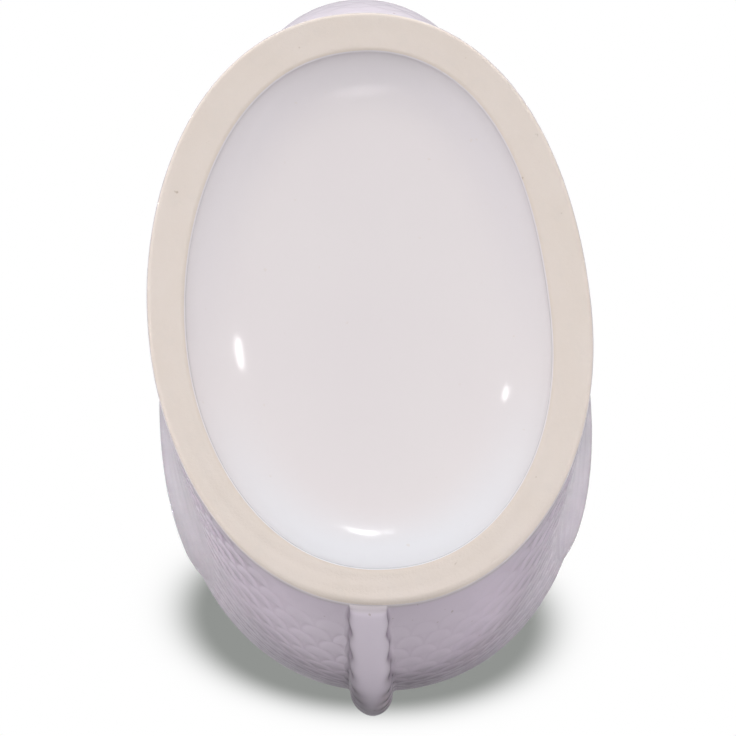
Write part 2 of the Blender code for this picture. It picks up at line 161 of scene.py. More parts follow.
def footWave(angle, waves):
    side, along = squarish(angle)
    turn = np.arctan2(side, along * (skinShape["fronts"][0] / (skinShape["widths"][0] / 2)))
    return sum(a * np.cos(k * turn) + b * np.sin(k * turn) for k, (a, b) in enumerate(waves, 1))


def skinSizes(height):
    return (through(height, skinShape["levels"], skinShape[key]) for key in ("fronts", "backs", "widths"))


# Angle 0 is the front, -Y, and a quarter turn is the left, +X
def skinPoint(angle, height, grow=0.0):
    angle, height, grow = np.broadcast_arrays(*(np.asarray(value, float) for value in (angle, height, grow)))
    grow = grow + footWave(angle, footWaves["outer"]) * (1 - ease(height / footWaves["fade"]))
    front, back, width = skinSizes(height)
    halfLength = (front + back) / 2 + grow
    point = oval(angle, width / 2 + grow, halfLength, (back - front) / 2, twistAt(height), height)
    point[..., 0] += swayAt(height)
    return point


def skinDistance(points):
    height = np.clip(points[..., 2], 0, rimLevel)
    front, back, width = skinSizes(height)
    x = points[..., 0] - footMiddle[0] - swayAt(height)
    y = points[..., 1] - footMiddle[1] - (back - front) / 2
    n = skinShape["squareness"]
    far = (np.abs(2 * x / width) ** n + np.abs(2 * y / (front + back)) ** n) ** (1 / n)
    return np.hypot(x, y) * (1 - 1 / np.maximum(far, 1e-6))


def skinNormal(points):
    moves = 0.2 * mm * np.eye(3)
    slope = np.stack([skinDistance(points + move) - skinDistance(points - move) for move in moves], -1)
    return slope / np.linalg.norm(slope, axis=-1, keepdims=True)


# How far the skin runs per angle
def skinSpeed(angle, height):
    return np.linalg.norm(skinPoint(angle + 1e-3, height) - skinPoint(angle, height)) / 1e-3


aroundShares = np.arange(around) / around
fineAngles = np.linspace(0, fullTurn, 8001)
bellyRun = runAlong(skinPoint(fineAngles, bellyLevel))
aroundAngles = np.interp(aroundShares * bellyRun[-1], bellyRun, fineAngles)  # evenly spaced along the belly


def skinRow(height, grow=0.0):
    return skinPoint(aroundAngles, height, grow)


# Meshes from rows of points
def quadRows(rows, columns, wrap, loop):
    i = np.arange(rows if loop else rows - 1)[:, None]
    j = np.arange(columns if wrap else columns - 1)[None, :]
    nextRow, nextColumn = (i + 1) % rows, (j + 1) % columns
    corners = ((i, j), (i, nextColumn), (nextRow, nextColumn), (nextRow, j))
    indices = np.broadcast_arrays(*(row * columns + column for row, column in corners))
    return np.stack(indices, -1).reshape(-1, 4).tolist()


# Marks for all points of the rows, and none for the points that close them
def fillMarks(marks, shape, closing=0):
    flat = {key: np.broadcast_to(values, shape).ravel() for key, values in (marks or {}).items()}
    return {key: np.concatenate([values, np.zeros(closing)]) for key, values in flat.items()}


def meshPiece(name, points, faces, material, marks, merge=0.0):
    data = bpy.data.meshes.new(name)
    data.from_pydata(points.reshape(-1, 3).tolist(), [], faces)
    for key, values in marks.items():
        layer = data.attributes.new(key, "FLOAT", "POINT")
        layer.data.foreach_set("value", values.astype(np.float32))
    work = bmesh.new()
    work.from_mesh(data)
    if merge:
        bmesh.ops.remove_doubles(work, verts=work.verts, dist=merge)
        bmesh.ops.dissolve_degenerate(work, edges=work.edges, dist=1e-7)
    bmesh.ops.recalc_face_normals(work, faces=work.faces)
    work.to_mesh(data)
    work.free()
    data.shade_smooth()
    data.set_sharp_from_angle(angle=math.radians(60))
    data.materials.append(material)
    piece = putObject(name, data)
    return piece


def loftLoop(name, rows, material, marks=None):
    rows = np.asarray(rows)
    faces = quadRows(*rows.shape[:2], True, True)
    return meshPiece(name, rows, faces, material, fillMarks(marks, rows.shape[:2]))


def loftCapped(name, rows, material, marks=None):
    rows = np.asarray(rows)
    count, columns = rows.shape[:2]
    points = np.concatenate([rows.reshape(-1, 3), [rows[0].mean(0)], [rows[-1].mean(0)]])
    faces = quadRows(count, columns, True, False)
    first, last = count * columns, count * columns + 1
    for j in range(columns):
        k = (j + 1) % columns
        faces.append((first, k, j))
        faces.append((last, (count - 1) * columns + j, (count - 1) * columns + k))
    return meshPiece(name, points, faces, material, fillMarks(marks, (count, columns), 2))


# Two sheets, closed round their rim, or merged there where they meet
def loftPatch(name, over, under, material, marks, merge=0.0):
    shape = over.shape[:2]
    index = np.arange(over[..., 0].size).reshape(shape)
    top = np.array(quadRows(*shape, False, False))
    faces = top.tolist() + (top[:, ::-1] + index.size).tolist()
    rim = np.concatenate([index[0], index[1:, -1], index[-1, -2::-1], index[-2:0:-1, 0]]).tolist()
    if not merge:
        faces += [(b, a, a + index.size, b + index.size) for a, b in zip(rim, rim[1:] + rim[:1])]
    filled = fillMarks(marks, (2, *shape)) if merge else fillMarks(marks, shape, index.size)
    return meshPiece(name, np.stack([over, under]), faces, material, filled, merge)


# An output of a node. It can be reckoned with like a number, which adds nodes for the sums.
class Wire:
    def __init__(self, tree, socket):
        self.tree, self.socket = tree, socket

    def by(self, operation, *others):
        return addNode(self.tree, "ShaderNodeMath", 0, dict(enumerate((self, *others))), operation=operation)

    def into(self, socket):
        self.tree.links.new(self.socket, socket)

    def __rsub__(self, other):
        return addNode(self.tree, "ShaderNodeMath", 0, {0: other, 1: self}, operation="SUBTRACT")

    __add__ = partialmethod(by, "ADD")
    __sub__ = partialmethod(by, "SUBTRACT")
    __mul__ = partialmethod(by, "MULTIPLY")
    __truediv__ = partialmethod(by, "DIVIDE")
    __pow__ = partialmethod(by, "POWER")


def addNode(tree, kind, output, inputs=None, **settings):
    node = tree.nodes.new(kind)
    for key, value in settings.items():
        setattr(node, key, value)
    for key, value in (inputs or {}).items():
        if isinstance(value, Wire):
            value.into(node.inputs[key])
        else:
            node.inputs[key].default_value = value
    return Wire(tree, node.outputs[output])


def noiseNode(spot, scale, detail, rough=0.5):
    inputs = {"Vector": spot, "Scale": scale, "Detail": detail, "Roughness": rough}
    return addNode(spot.tree, "ShaderNodeTexNoise", "Fac", inputs)


def rangeNode(value, low, high, toLow=0.0, toHigh=1.0, kind="LINEAR"):
    inputs = {"Value": value, "From Min": low, "From Max": high, "To Min": toLow, "To Max": toHigh}
    return addNode(value.tree, "ShaderNodeMapRange", "Result", inputs, interpolation_type=kind)


def blendNode(share, first, second):
    return addNode(share.tree, "ShaderNodeMix", 2, {0: share, 6: first, 7: second}, data_type="RGBA")


def markNode(tree, name):
    return addNode(tree, "ShaderNodeAttribute", "Fac", attribute_name=name)


def bumpNode(height, strength, distance, before=None):
    inputs = {"Strength": strength, "Distance": distance, "Height": height}
    if before:
        inputs["Normal"] = before
    return addNode(height.tree, "ShaderNodeBump", "Normal", inputs)


def bellOf(value, middle, width):
    away = (value - middle) / width
    return (away * away * -1.0).by("EXPONENT")


# Staggered scales, a column or a row of them each 1 wide. The edge is 1 where a scale ends, less inside it.
scalePattern = {
    "roundness": 1.9, "lineAt": 1.03, "line": 0.12, "lineShade": 0.45, "soft": 0.2, "wander": 45,
    "root": 0.4, "rise": 0.6, "overlap": 0.25, "middle": 0.55, "poolMiddle": 0.6, "poolDepth": 0.7,
}


def scaleEdge(column, row):
    power = scalePattern["roundness"]
    inRow = row.by("FRACT")
    stagger = row.by("FLOOR").by("FLOORED_MODULO", 2.0) * 0.5
    over = (column - stagger + 100.0).by("FRACT")  # 100 keeps it above 0
    wide = (over * 2.0 - 1.0).by("ABSOLUTE")
    return (wide**power + inRow**power) ** (1 / power), wide, inRow


# Finishes. Noise is its scale, detail and roughness.
# Limits are the lowest and highest value and what they become.
finishShades = {
    "lilac": (0.735, 0.648, 0.748, 1),
    "lilacCloud": (0.765, 0.688, 0.775, 1),
    # Pale and deep lilac are the glaze's own breaking and pooling, and also a painted highlight and painted
    # shade on the ridge fins
    "lilacPaleAndPaintedHighlight": (0.852, 0.768, 0.872, 1),
    "lilacDeepAndPaintedShade": (0.480, 0.385, 0.490, 1),
    "thinGlazeAndShade": (0.600, 0.555, 0.565, 1),
    "white": (0.770, 0.722, 0.732, 1),
    "whiteCloud": (0.755, 0.702, 0.718, 1),
    # A cool painted reflection and painted shade for the dish's cove
    "whitePaintedReflection": (0.768, 0.764, 0.798, 1),
    "whitePaintedShade": (0.700, 0.660, 0.695, 1),
    "bisque": (0.705, 0.630, 0.585, 1),
    "bisqueWarm": (0.682, 0.602, 0.545, 1),
    "bisqueGrey": (0.655, 0.596, 0.555, 1),
    "bisqueEdgeDark": (0.51, 0.43, 0.34, 1),
    "speck": (0.330, 0.240, 0.170, 1),
}
# Glaze breaks pale over high relief and pools darker in grooves and between scales. The same layers carry a
# painted highlight on the ridge fins' crests and painted shade low on their sides. The glaze greys at its
# lower edge, where it thins, and that grey also paints shade over the light the edge catches.
lilacGlaze = {
    "base": "lilac",
    "clouds": (((22, 4), (0.35, 0.68, 0.0, 1.0), "lilacCloud"),),
    "layers": (
        ("glazePool", (-1.0, 0.0, 0.75, 0.0), "lilacDeepAndPaintedShade"),
        ("glazePool", (0.25, 1.0, 0.0, 0.9), "lilacPaleAndPaintedHighlight"),
    ),
    "lines": ((48, 2), (0.38, 0.62, 0.2, 1.0)),
    "lineGroove": (0.25, 0.4 * mm),
    "lowerEdge": (1.0 * mm, 2.0 * mm, 0.8, 0.0),
    "specks": ((620, 1), (0.765, 0.80, 0.0, 0.35), "speck"),
    "roughness": ((60, 5), (0.3, 0.7, 0.13, 0.24)),
    "bumps": (((85, 2), 0.12, 1.2 * mm), ((900, 2), 0.05, 0.3 * mm)),
    "shader": {"Coat Weight": 0.25, "Coat Roughness": 0.06},
}
whiteGlaze = {
    "base": "white",
    "clouds": (((30, 4), (0.35, 0.7, 0.0, 0.6), "whiteCloud"),),
    # On the dish these two layers are painted shade and a cool painted reflection
    "layers": (
        ("glazePool", (-1.0, 0.0, 0.8, 0.0), "whitePaintedShade"),
        ("glazePool", (0.0, 0.9, 0.0, 1.0), "whitePaintedReflection"),
    ),
    "specks": ((540, 1), (0.775, 0.81, 0.0, 0.3), "bisqueWarm"),
    "roughness": ((70, 4), (0.3, 0.7, 0.07, 0.15)),
    "bumps": (((60, 2), 0.18, 1.4 * mm), ((800, 2), 0.04, 0.3 * mm)),
    "shader": {"Coat Weight": 0.35, "Coat Roughness": 0.04},
}
bareBisque = {
    "base": "bisque",
    "clouds": (
        ((55, 5, 0.6), (0.35, 0.7, 0.0, 0.8), "bisqueWarm"),
        ((180, 6, 0.7), (0.52, 0.75, 0.0, 0.55), "bisqueGrey"),
    ),
    # Darker brown at the band's rounded edges
    "layers": (("bandEdge", (0.0, 1.0, 0.0, 0.7), "bisqueEdgeDark"),),
    "specks": ((420, 2), (0.73, 0.78, 0.0, 0.6), "speck"),
    "roughness": ((240, 4), (0.3, 0.7, 0.78, 0.95)),
    "bumps": (((1500, 4, 0.7), 0.35, 0.3 * mm), ((220, 3), 0.2, 0.5 * mm)),
    "shader": {"Specular IOR Level": 0.2},
}


def makeFinish(name, look):
    material = bpy.data.materials.new(name)
    material.use_nodes = True
    tree = material.node_tree
    shader = tree.nodes["Principled BSDF"]
    spot = addNode(tree, "ShaderNodeTexCoord", "Object")

    def patches(noise, limits):
        return rangeNode(noiseNode(spot, *noise), *limits)

    colour, normal = finishShades[look["base"]], None
    for noise, limits, shade in look["clouds"]:
        colour = blendNode(patches(noise, limits), colour, finishShades[shade])
    for mark, limits, shade in look["layers"]:
        colour = blendNode(rangeNode(markNode(tree, mark), *limits), colour, finishShades[shade])
    for noise, strength, depth in look["bumps"]:
        normal = bumpNode(noiseNode(spot, *noise), strength, depth, normal)
    if "lines" in look:
        turn = markNode(tree, "scaleTurnY").by("ARCTAN2", markNode(tree, "scaleTurnX"))
        edge = scaleEdge(turn / math.pi, markNode(tree, "scaleRow"))[0]
        line = bellOf(edge, scalePattern["lineAt"], scalePattern["line"]) * markNode(tree, "scaleMask")
        line = line * patches(*look["lines"])
        colour = blendNode(line * scalePattern["lineShade"], colour, finishShades["lilacDeepAndPaintedShade"])
        # Greyer at the lowest millimetres, where the glaze thins; this grey also paints shade over the light
        # that edge catches
        height = addNode(tree, "ShaderNodeSeparateXYZ", "Z", {"Vector": spot})
        colour = blendNode(rangeNode(height, *look["lowerEdge"]), colour, finishShades["thinGlazeAndShade"])
        normal = bumpNode(line * -1.0, *look["lineGroove"], normal)
    noise, limits, shade = look["specks"]
    blendNode(patches(noise, limits), colour, finishShades[shade]).into(shader.inputs["Base Color"])
    patches(*look["roughness"]).into(shader.inputs["Roughness"])
    normal.into(shader.inputs["Normal"])
    for key, value in look["shader"].items():
        shader.inputs[key].default_value = value
    return material


lilac, white = makeFinish("lilacGlaze", lilacGlaze), makeFinish("whiteGlaze", whiteGlaze)
bisque = makeFinish("bareBisque", bareBisque)
print("finishes made")


# Geometry Nodes trees
def startTree(name, sizes):
    tree = bpy.data.node_groups.new(name, "GeometryNodeTree")
    sockets = [("Geometry", "Geometry"), *((label, "Float") for label in sizes), ("Finish", "Material")]
    for label, kind in sockets:
        tree.interface.new_socket(label, in_out="INPUT", socket_type="NodeSocket" + kind)
    tree.interface.new_socket("Geometry", in_out="OUTPUT", socket_type="NodeSocketGeometry")
    start = tree.nodes.new("NodeGroupInput").outputs
    return tree, {label: Wire(tree, start[label]) for label, kind in sockets}


def namedMark(tree, name):
    return addNode(tree, "GeometryNodeInputNamedAttribute", "Attribute", {"Name": name}, data_type="FLOAT")


def storeMark(geometry, name, value):
    kind, inputs = "GeometryNodeStoreNamedAttribute", {"Geometry": geometry, "Name": name, "Value": value}
    return addNode(geometry.tree, kind, "Geometry", inputs, data_type="FLOAT", domain="POINT")


# Raises the skin along its normals by a height, keeps the pooling of the glaze with any painted light and
# shade, and closes the tree
def endTree(tree, size, geometry, height, poolAndPaintedLight):
    normal = addNode(tree, "GeometryNodeInputNormal", "Normal")
    push = addNode(tree, "ShaderNodeVectorMath", "Vector", {0: normal, "Scale": height}, operation="SCALE")
    kept = storeMark(geometry, "glazePool", poolAndPaintedLight)
    moved = addNode(tree, "GeometryNodeSetPosition", "Geometry", {"Geometry": kept, "Offset": push})
    real = addNode(tree, "GeometryNodeRealizeInstances", "Geometry", {"Geometry": moved})
    coated = {"Geometry": real, "Material": size["Finish"]}
    coat = addNode(tree, "GeometryNodeSetMaterial", "Geometry", coated)
    coat.into(tree.nodes.new("NodeGroupOutput").inputs["Geometry"])
    return tree


# Overlapping scales in staggered rows. Their free edges point along the mark scaleAlong.
# The place in the pattern is kept, so that the glaze can draw its thin line between the scales.
def scaleTree():
    tree, size = startTree("scaleRelief", ("Columns", "Row Pitch", "Relief", "Groove", "Unevenness"))
    position = addNode(tree, "GeometryNodeInputPosition", "Position")
    noise = {"Vector": position, "Scale": scalePattern["wander"], "Detail": 1}
    wander = addNode(tree, "ShaderNodeTexNoise", "Color", noise)
    shifts = [addNode(tree, "ShaderNodeSeparateXYZ", axis, {"Vector": wander}) - 0.5 for axis in "XY"]
    column = namedMark(tree, "scaleAround") * size["Columns"] + shifts[0] * size["Unevenness"]
    row = namedMark(tree, "scaleAlong") / size["Row Pitch"] + shifts[1] * size["Unevenness"]
    edge, wide, inRow = scaleEdge(column, row)
    root, rise, soft = scalePattern["root"], scalePattern["rise"], scalePattern["soft"]
    narrow, early = 1.0 - wide, 1.0 - inRow
    upper = edge * rise + root
    lower = narrow * narrow * rise + root - early * early * scalePattern["overlap"]
    bare = rangeNode(edge, 1 - soft, 1 + soft, kind="SMOOTHSTEP")
    level = upper + bare * (lower - upper)
    dip = bellOf(edge, scalePattern["lineAt"], soft) * size["Groove"]
    raised = (level - scalePattern["middle"]) * size["Relief"] - dip
    poolAndPaintedLight = (level - scalePattern["poolMiddle"]) * scalePattern["poolDepth"]
    mask, turn, kept = namedMark(tree, "scaleMask"), column * math.pi, size["Geometry"]
    marks = {"scaleTurnX": turn.by("COSINE"), "scaleTurnY": turn.by("SINE"), "scaleRow": row}
    for name, value in marks.items():
        kept = storeMark(kept, name, value)
    return endTree(tree, size, kept, raised * mask, poolAndPaintedLight * mask)


# Round rays side by side with narrow valleys, and fine streaks on them
rayPattern = {"roundness": 0.6, "middle": 0.75, "streaks": 6.0, "poolMiddle": 0.72, "poolDepth": 1.5}


def rayTree():
    tree, size = startTree("finRays", ("Rays", "Relief", "Streaks", "Growth Lines", "Growth Relief"))
    rayMarks = ("rayAcross", "rayAlong", "rayMask", "growthMask")
    share, out, mask, edge = (namedMark(tree, key) for key in rayMarks)
    turn = share * size["Rays"] * math.pi
    rib = turn.by("SINE").by("ABSOLUTE") ** rayPattern["roundness"]
    streaks = (turn * rayPattern["streaks"]).by("COSINE") * size["Streaks"]
    growth = (out * size["Growth Lines"] * fullTurn).by("COSINE") * size["Growth Relief"] * edge
    raised = (rib - rayPattern["middle"]) * size["Relief"] + streaks
    poolAndPaintedLight = (rib - rayPattern["poolMiddle"]) * rayPattern["poolDepth"] * mask
    # The ridge fins add their painted highlight and painted shade to the glaze's pooling here
    return endTree(tree, size, size["Geometry"], raised * mask + growth, poolAndPaintedLight + namedMark(tree, "rayPale"))


scaleRelief, finRays = scaleTree(), rayTree()


def growRelief(piece, tree, sizes):
    values = {key: float(size) for key, size in sizes.items()}
    values["Finish"] = piece.data.materials[0]
    modifier = piece.modifiers.new(tree.name, "NODES")
    modifier.node_group = tree
    for item in tree.interface.items_tree:
        if item.in_out == "INPUT" and item.name in values:
            modifier[item.identifier] = values[item.name]
    settle(piece)


# Turns what the modifiers make into a plain mesh
def settle(piece):
    graph = bpy.context.evaluated_depsgraph_get()
    made = piece.evaluated_get(graph)
    data = bpy.data.meshes.new_from_object(made, preserve_all_data_layers=True, depsgraph=graph)
    old, finish = piece.data, piece.data.materials[0]
    piece.modifiers.clear()
    piece.data = data
    bpy.data.meshes.remove(old)
    data.name = piece.name
    if not data.materials:
        data.materials.append(finish)
    for key in ("scaleAround", "scaleAlong", "rayAcross", "rayAlong", "rayMask", "rayPale", "growthMask"):
        if key in data.attributes:
            data.attributes.remove(data.attributes[key])


def carve(piece, cutter):
    modifier = piece.modifiers.new("carve", "BOOLEAN")
    modifier.operation = "DIFFERENCE"
    modifier.solver = "MANIFOLD"
    modifier.object = cutter
    settle(piece)
    old = cutter.data
    bpy.data.objects.remove(cutter)
    bpy.data.meshes.remove(old)


def keepPiece(piece, slot, *nodes):
    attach(piece, "root")
    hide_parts(*nodes)
    print(piece.name, len(piece.data.polygons), "faces")
    return piece


# Foot: a bare band that was wiped clean of glaze, a little uneven as a hand leaves it
footBand = {
    **inMm(width=90, length=121.4, bandSide=8.3, bandEnd=7.3, height=3, shoulder=2.2, round=1.0, dents=0.05,
        under=0.12),
    "roundRows": 9, "flatRows": 10, "outerEdgeDark": 0.1, "innerEdgeDark": 0.5,
}


def footOval(inset, height):
    inset = inset - footWave(aroundAngles, footWaves["inner"])
    halfWidth = footBand["width"] / 2 - footBand["bandSide"] - inset
    halfLength = footBand["length"] / 2 - footBand["bandEnd"] - inset
    return oval(aroundAngles, halfWidth, halfLength, 0.0, twistAt(height), np.full(around, height))


def makeFootBand():
    radius, under, sides = footBand["round"], footBand["under"], (footBand["height"], footBand["shoulder"])
    bend = np.linspace(0, quarterTurn, footBand["roundRows"])
    rows = [(skinRow(height, -under), 0.0) for height in sides]
    for turn in bend:
        inset, height = under + radius * (1 - math.cos(turn)), radius * (1 - math.sin(turn))
        rows.append((skinRow(height, -inset), footBand["outerEdgeDark"] * math.cos(turn)))
    outside, inside = skinRow(0.0, -under - radius), footOval(-radius, 0.0)
    for share in np.linspace(0, 1, footBand["flatRows"] + 2)[1:-1]:
        flat = outside * (1 - share) + inside * share
        dents = footBand["dents"] * (1 + np.sin(5 * aroundAngles + 9 * share))
        flat[:, 2] = dents * math.sin(math.pi * share)
        rows.append((flat, 0.0))
    for turn in bend[::-1]:
        inset, height = -radius * (1 - math.cos(turn)), radius * (1 - math.sin(turn))
        rows.append((footOval(inset, height), footBand["innerEdgeDark"] * math.cos(turn)))
    rows += [(footOval(0.0, height), 0.0) for height in sides[::-1]]
    # The band's rounded edges are darker brown, most on the inner one
    marks = {"bandEdge": np.array([darkening for row, darkening in rows])[:, None]}
    piece = loftLoop("footBand", [row for row, darkening in rows], bisque, marks)
    return keepPiece(piece, "bare_bisque", "foot_ring")


# Base: a glossy dish with a coved side. Its cove carries painted light: a cool painted reflection in front,
# and painted shade behind and at the sides, most by the rim.
baseDish = {
    **inMm(depth=6.5, cove=14.1, rimHeight=0.65, thickness=5, crown=0.25),
    "coveRows": 25, "rimPaintedShade": 0.25, "flatRows": 36, "paintedShadeBehind": 0.9, "paintedShadeSides": 0.3, "paintedLightReach": 0.9,
    "rim": ((-0.05, 0.54), (-0.12, 0.47), (-0.2, 0.39), (-0.28, 0.335), (-0.3, 0.40)),  # inset, height in mm
}


def makeBaseDish():
    rows, poolAndPaintedLight = [], []
    toFront = np.cos(aroundAngles)
    # tint is painted light and shade on the cove: positive for the cool painted reflection, negative for
    # painted shade
    tint = np.where(toFront > 0, toFront, baseDish["paintedShadeBehind"] * toFront)
    tint = tint - baseDish["paintedShadeSides"] * np.sin(aroundAngles) ** 2
    depth, rimLow, cove = (baseDish[key] for key in ("depth", "rimHeight", "cove"))
    middle = footMiddle + np.array([0, 0, depth])
    for share in np.linspace(0.04, 1, baseDish["flatRows"]):
        flat = middle + (footOval(cove, depth) - middle) * share
        flat[:, 2] = depth - baseDish["crown"] * (1 - ease(share))
        rows.append(flat)
        poolAndPaintedLight.append(0.0 * tint)
    for turn in np.linspace(0, quarterTurn, baseDish["coveRows"] + 1)[1:]:
        rows.append(footOval(cove * (1 - math.sin(turn)), rimLow + (depth - rimLow) * math.cos(turn)))
        poolAndPaintedLight.append(ease(turn / baseDish["paintedLightReach"]) * tint)
    for inset, height in baseDish["rim"]:
        rows.append(footOval(inset * mm, height * mm))
        poolAndPaintedLight.append(tint - baseDish["rimPaintedShade"])
    shelf = footBand["height"] + seam
    rows.append(footOval(0.05 * mm, shelf))
    rows += [skinRow(height, -wall - seam) for height in (shelf, depth + baseDish["thickness"])]
    top, centre = rows[-1], rows[-1].mean(0)
    rows += [centre + (top - centre) * share for share in (0.7, 0.4, 0.1)]
    poolAndPaintedLight += [0.0 * tint] * (len(rows) - len(poolAndPaintedLight))
    piece = loftCapped("baseDish", rows, white, {"glazePool": np.array(poolAndPaintedLight)})
    return keepPiece(piece, "white_glaze", "base_panel")


# Side fins: fans that lie on the flanks
sideFin = {
    **inMm(aboveFoot=1.5, neck=22, thickness=1.4, thinning=0.8, edgeRound=2.0),
    "frontShare": 0.8, "rounding": 1.5, "rootThickness": 0.3, "endThinning": 0.75, "frontRound": 2.0,
    "cornerThinning": 0.75, "rayFading": 0.92,
    "angle": math.radians(78),
    "top": gillLevel - 14 * mm,
    "spread": math.radians(35),
    "rows": (150, 170),
    "rays": {
        "Rays": 9, "Relief": 0.3 * mm, "Streaks": 0.02 * mm, "Growth Lines": 13, "Growth Relief": 0.03 * mm,
    },
}


def fanSpread(toBack):
    return sideFin["spread"] * np.where(toBack < 0, sideFin["frontShare"], 1.0)


def fanReach(share):
    longest = sideFin["top"] - footBand["height"] - sideFin["aboveFoot"]
    return longest * (1 - sideFin["rounding"] * share**2)


# How far inside the fan's outline a place of the skin is, negative outside
def insideSideFin(angle, height, side):
    angle = angle if side > 0 else fullTurn - angle
    across = (angle - sideFin["angle"]) * skinSpeed(sideFin["angle"], sideFin["top"])
    drop = sideFin["neck"] - (height - sideFin["top"])
    radius, turn = np.hypot(across, drop), np.arctan2(across, drop)
    share = turn / fanSpread(turn)
    reach = sideFin["neck"] + fanReach(np.clip(share, -0.5, 0.5))
    flank = (0.5 - np.abs(share)) * fanSpread(turn) * radius
    return np.minimum(flank, np.minimum(reach - radius, radius - sideFin["neck"]))


# Trunk: the scaled body from the foot to the gills
trunk = {
    **inMm(glazeLine=0.75, start=2.4, shelf=3.3, scaleBoundaryFront=136, scaleBoundaryBack=184,
        boundaryFade=12, scalesFrom=1.6, smoothSides=2.5, smoothFront=14, finFade=(-1.2, 1.6),
        footReach=(8, 24)),
    "rows": 184, "footRelief": 0.9, "frontCalm": 0.5,
    "glazeRim": ((0.2, -0.4), (0, -0.12), (0.12, 0.024), (0.4, 0.03), (0.9, 0.015)),  # up and out in mm
    "waver": ((3, 0.7, 0.09), (7, 2.1, 0.063), (16, 4.0, 0.036)),  # waves per turn, start, and height in mm
    "crowding": 0.72,  # closer rows near the foot
    "innerRows": (gillLevel, 11.8 * mm, 22),
    "scales": {
        "Columns": 50, "Row Pitch": 3.8 * mm, "Relief": 0.36 * mm, "Groove": 0.20 * mm, "Unevenness": 0.6,
    },
}


# Scales are deeper on the flanks by the foot and weaker in front
def scaleMaskAt(angle, height):
    along = np.cos(angle)
    upper = trunk["scaleBoundaryFront"]
    upper = upper + (trunk["scaleBoundaryBack"] - upper) * ease((1 - along) / 2)
    smooth = trunk["smoothSides"] + trunk["smoothFront"] * step(along, 0.72, 0.25)
    mask = ease((upper - height) / trunk["boundaryFade"]) * step(height, trunk["scalesFrom"], smooth)
    for side in (1, -1):
        mask = mask * (1 - step(insideSideFin(angle, height, side), *trunk["finFade"]))
    byFoot = (1 - step(height, *trunk["footReach"])) * (1 - step(np.abs(along), 0.6, 0.3))
    return mask * (1 + trunk["footRelief"] * byFoot - trunk["frontCalm"] * step(along, 0.35, 0.5))


def scaleMarks(rows, mask):
    return {"scaleAround": aroundShares, "scaleAlong": browLevel - rows[..., 2], "scaleMask": mask}


def makeTrunk(portCutter):
    waver = sum(part * mm * np.sin(n * aroundAngles + at) for n, at, part in trunk["waver"])
    low = trunk["glazeLine"] + waver
    rows = [skinRow(low + up * mm, out * mm) for up, out in trunk["glazeRim"]]
    climb, start = np.linspace(0, 1, trunk["rows"]), trunk["start"]
    heights = start + (gillLevel - start) * climb * (trunk["crowding"] + (1 - trunk["crowding"]) * climb)
    rows += [skinRow(height) for height in heights]
    outerCount = len(rows)
    rows.append(skinRow(gillLevel + 0.5 * mm, -tuck))  # reaches under the head, so no seam shows
    rows += [skinRow(height, -wall) for height in np.linspace(*trunk["innerRows"])]
    rows += [skinRow(trunk["shelf"], inset) for inset in (-wall + 0.1 * mm, -0.55 * mm)]
    rows = np.array(rows)
    mask = scaleMaskAt(aroundAngles, rows[..., 2])
    mask[:len(trunk["glazeRim"])] = 0
    mask[outerCount:] = 0
    piece = loftLoop("trunk", rows, lilac, scaleMarks(rows, mask))
    growRelief(piece, scaleRelief, trunk["scales"])
    carve(piece, portCutter)
    return keepPiece(piece, "lilac_glaze", "body_shell")


# Head: smooth above the scales, with brows, cheeks and folds behind the mouth's corners.
# Spots are measured from the eye, as their place and width.
head = {
    **inMm(frontDrop=7, cornerDrop=19, lipFlare=2.6, flareReach=9, socketDepth=0.9, socketRing=(14, 3.2),
        browRise=1.5, browRing=(18.5, 3.4), cheekRise=1.1, cheekAcross=(-20, 15), cheekUp=(-22, 13),
        nostrilDepth=0.9, nostrilAcross=(22, 2.2), nostrilUp=(13, 2.2), wingRise=0.45, wingRing=(25.5, 2.5),
        wingAcross=(22, 4), wingUp=(17, 4), folds=(9.5, 14.5), foldWidth=1.7, foldDepth=0.5),
    "rows": 124, "innerRows": 22, "flareCurve": 2.2, "browArch": 1.5,
    "eyeAngle": math.radians(83),
    "eyeHeight": browLevel + 1 * mm,
    "formFade": (gillLevel + 2 * mm, 14 * mm),
}


def rimHeight(angle):
    along = np.cos(angle)
    corner = rimLevel - head["cornerDrop"]
    end = rimLevel - np.where(along > 0, head["frontDrop"], 0.0)
    return corner + (end - corner) * along * along


def headForm(angle, height):
    angle = np.mod(angle, fullTurn)
    turned = np.where(angle > math.pi, fullTurn - angle, angle)
    across = (turned - head["eyeAngle"]) * skinSpeed(head["eyeAngle"], head["eyeHeight"])
    up = height - head["eyeHeight"]
    radius = np.hypot(across, up) + 1e-9
    arch = np.clip(up / radius, 0, 1) ** head["browArch"]
    form = head["browRise"] * arch * bell(radius, *head["browRing"])
    form = form - head["socketDepth"] * bell(radius, *head["socketRing"])
    form = form + head["cheekRise"] * bell(across, *head["cheekAcross"]) * bell(up, *head["cheekUp"])
    form = form - head["nostrilDepth"] * bell(across, *head["nostrilAcross"]) * bell(up, *head["nostrilUp"])
    wing = bell(radius, *head["wingRing"]) * bell(up, *head["wingUp"]) * bell(across, *head["wingAcross"])
    below = rimHeight(angle) - height
    corner = ease((0.75 - np.abs(np.cos(angle))) / 0.5)
    fold = sum(bell(below, drop, head["foldWidth"]) for drop in head["folds"])
    form = (form + head["wingRise"] * wing) * step(height, *head["formFade"])
    return form - head["foldDepth"] * fold * corner


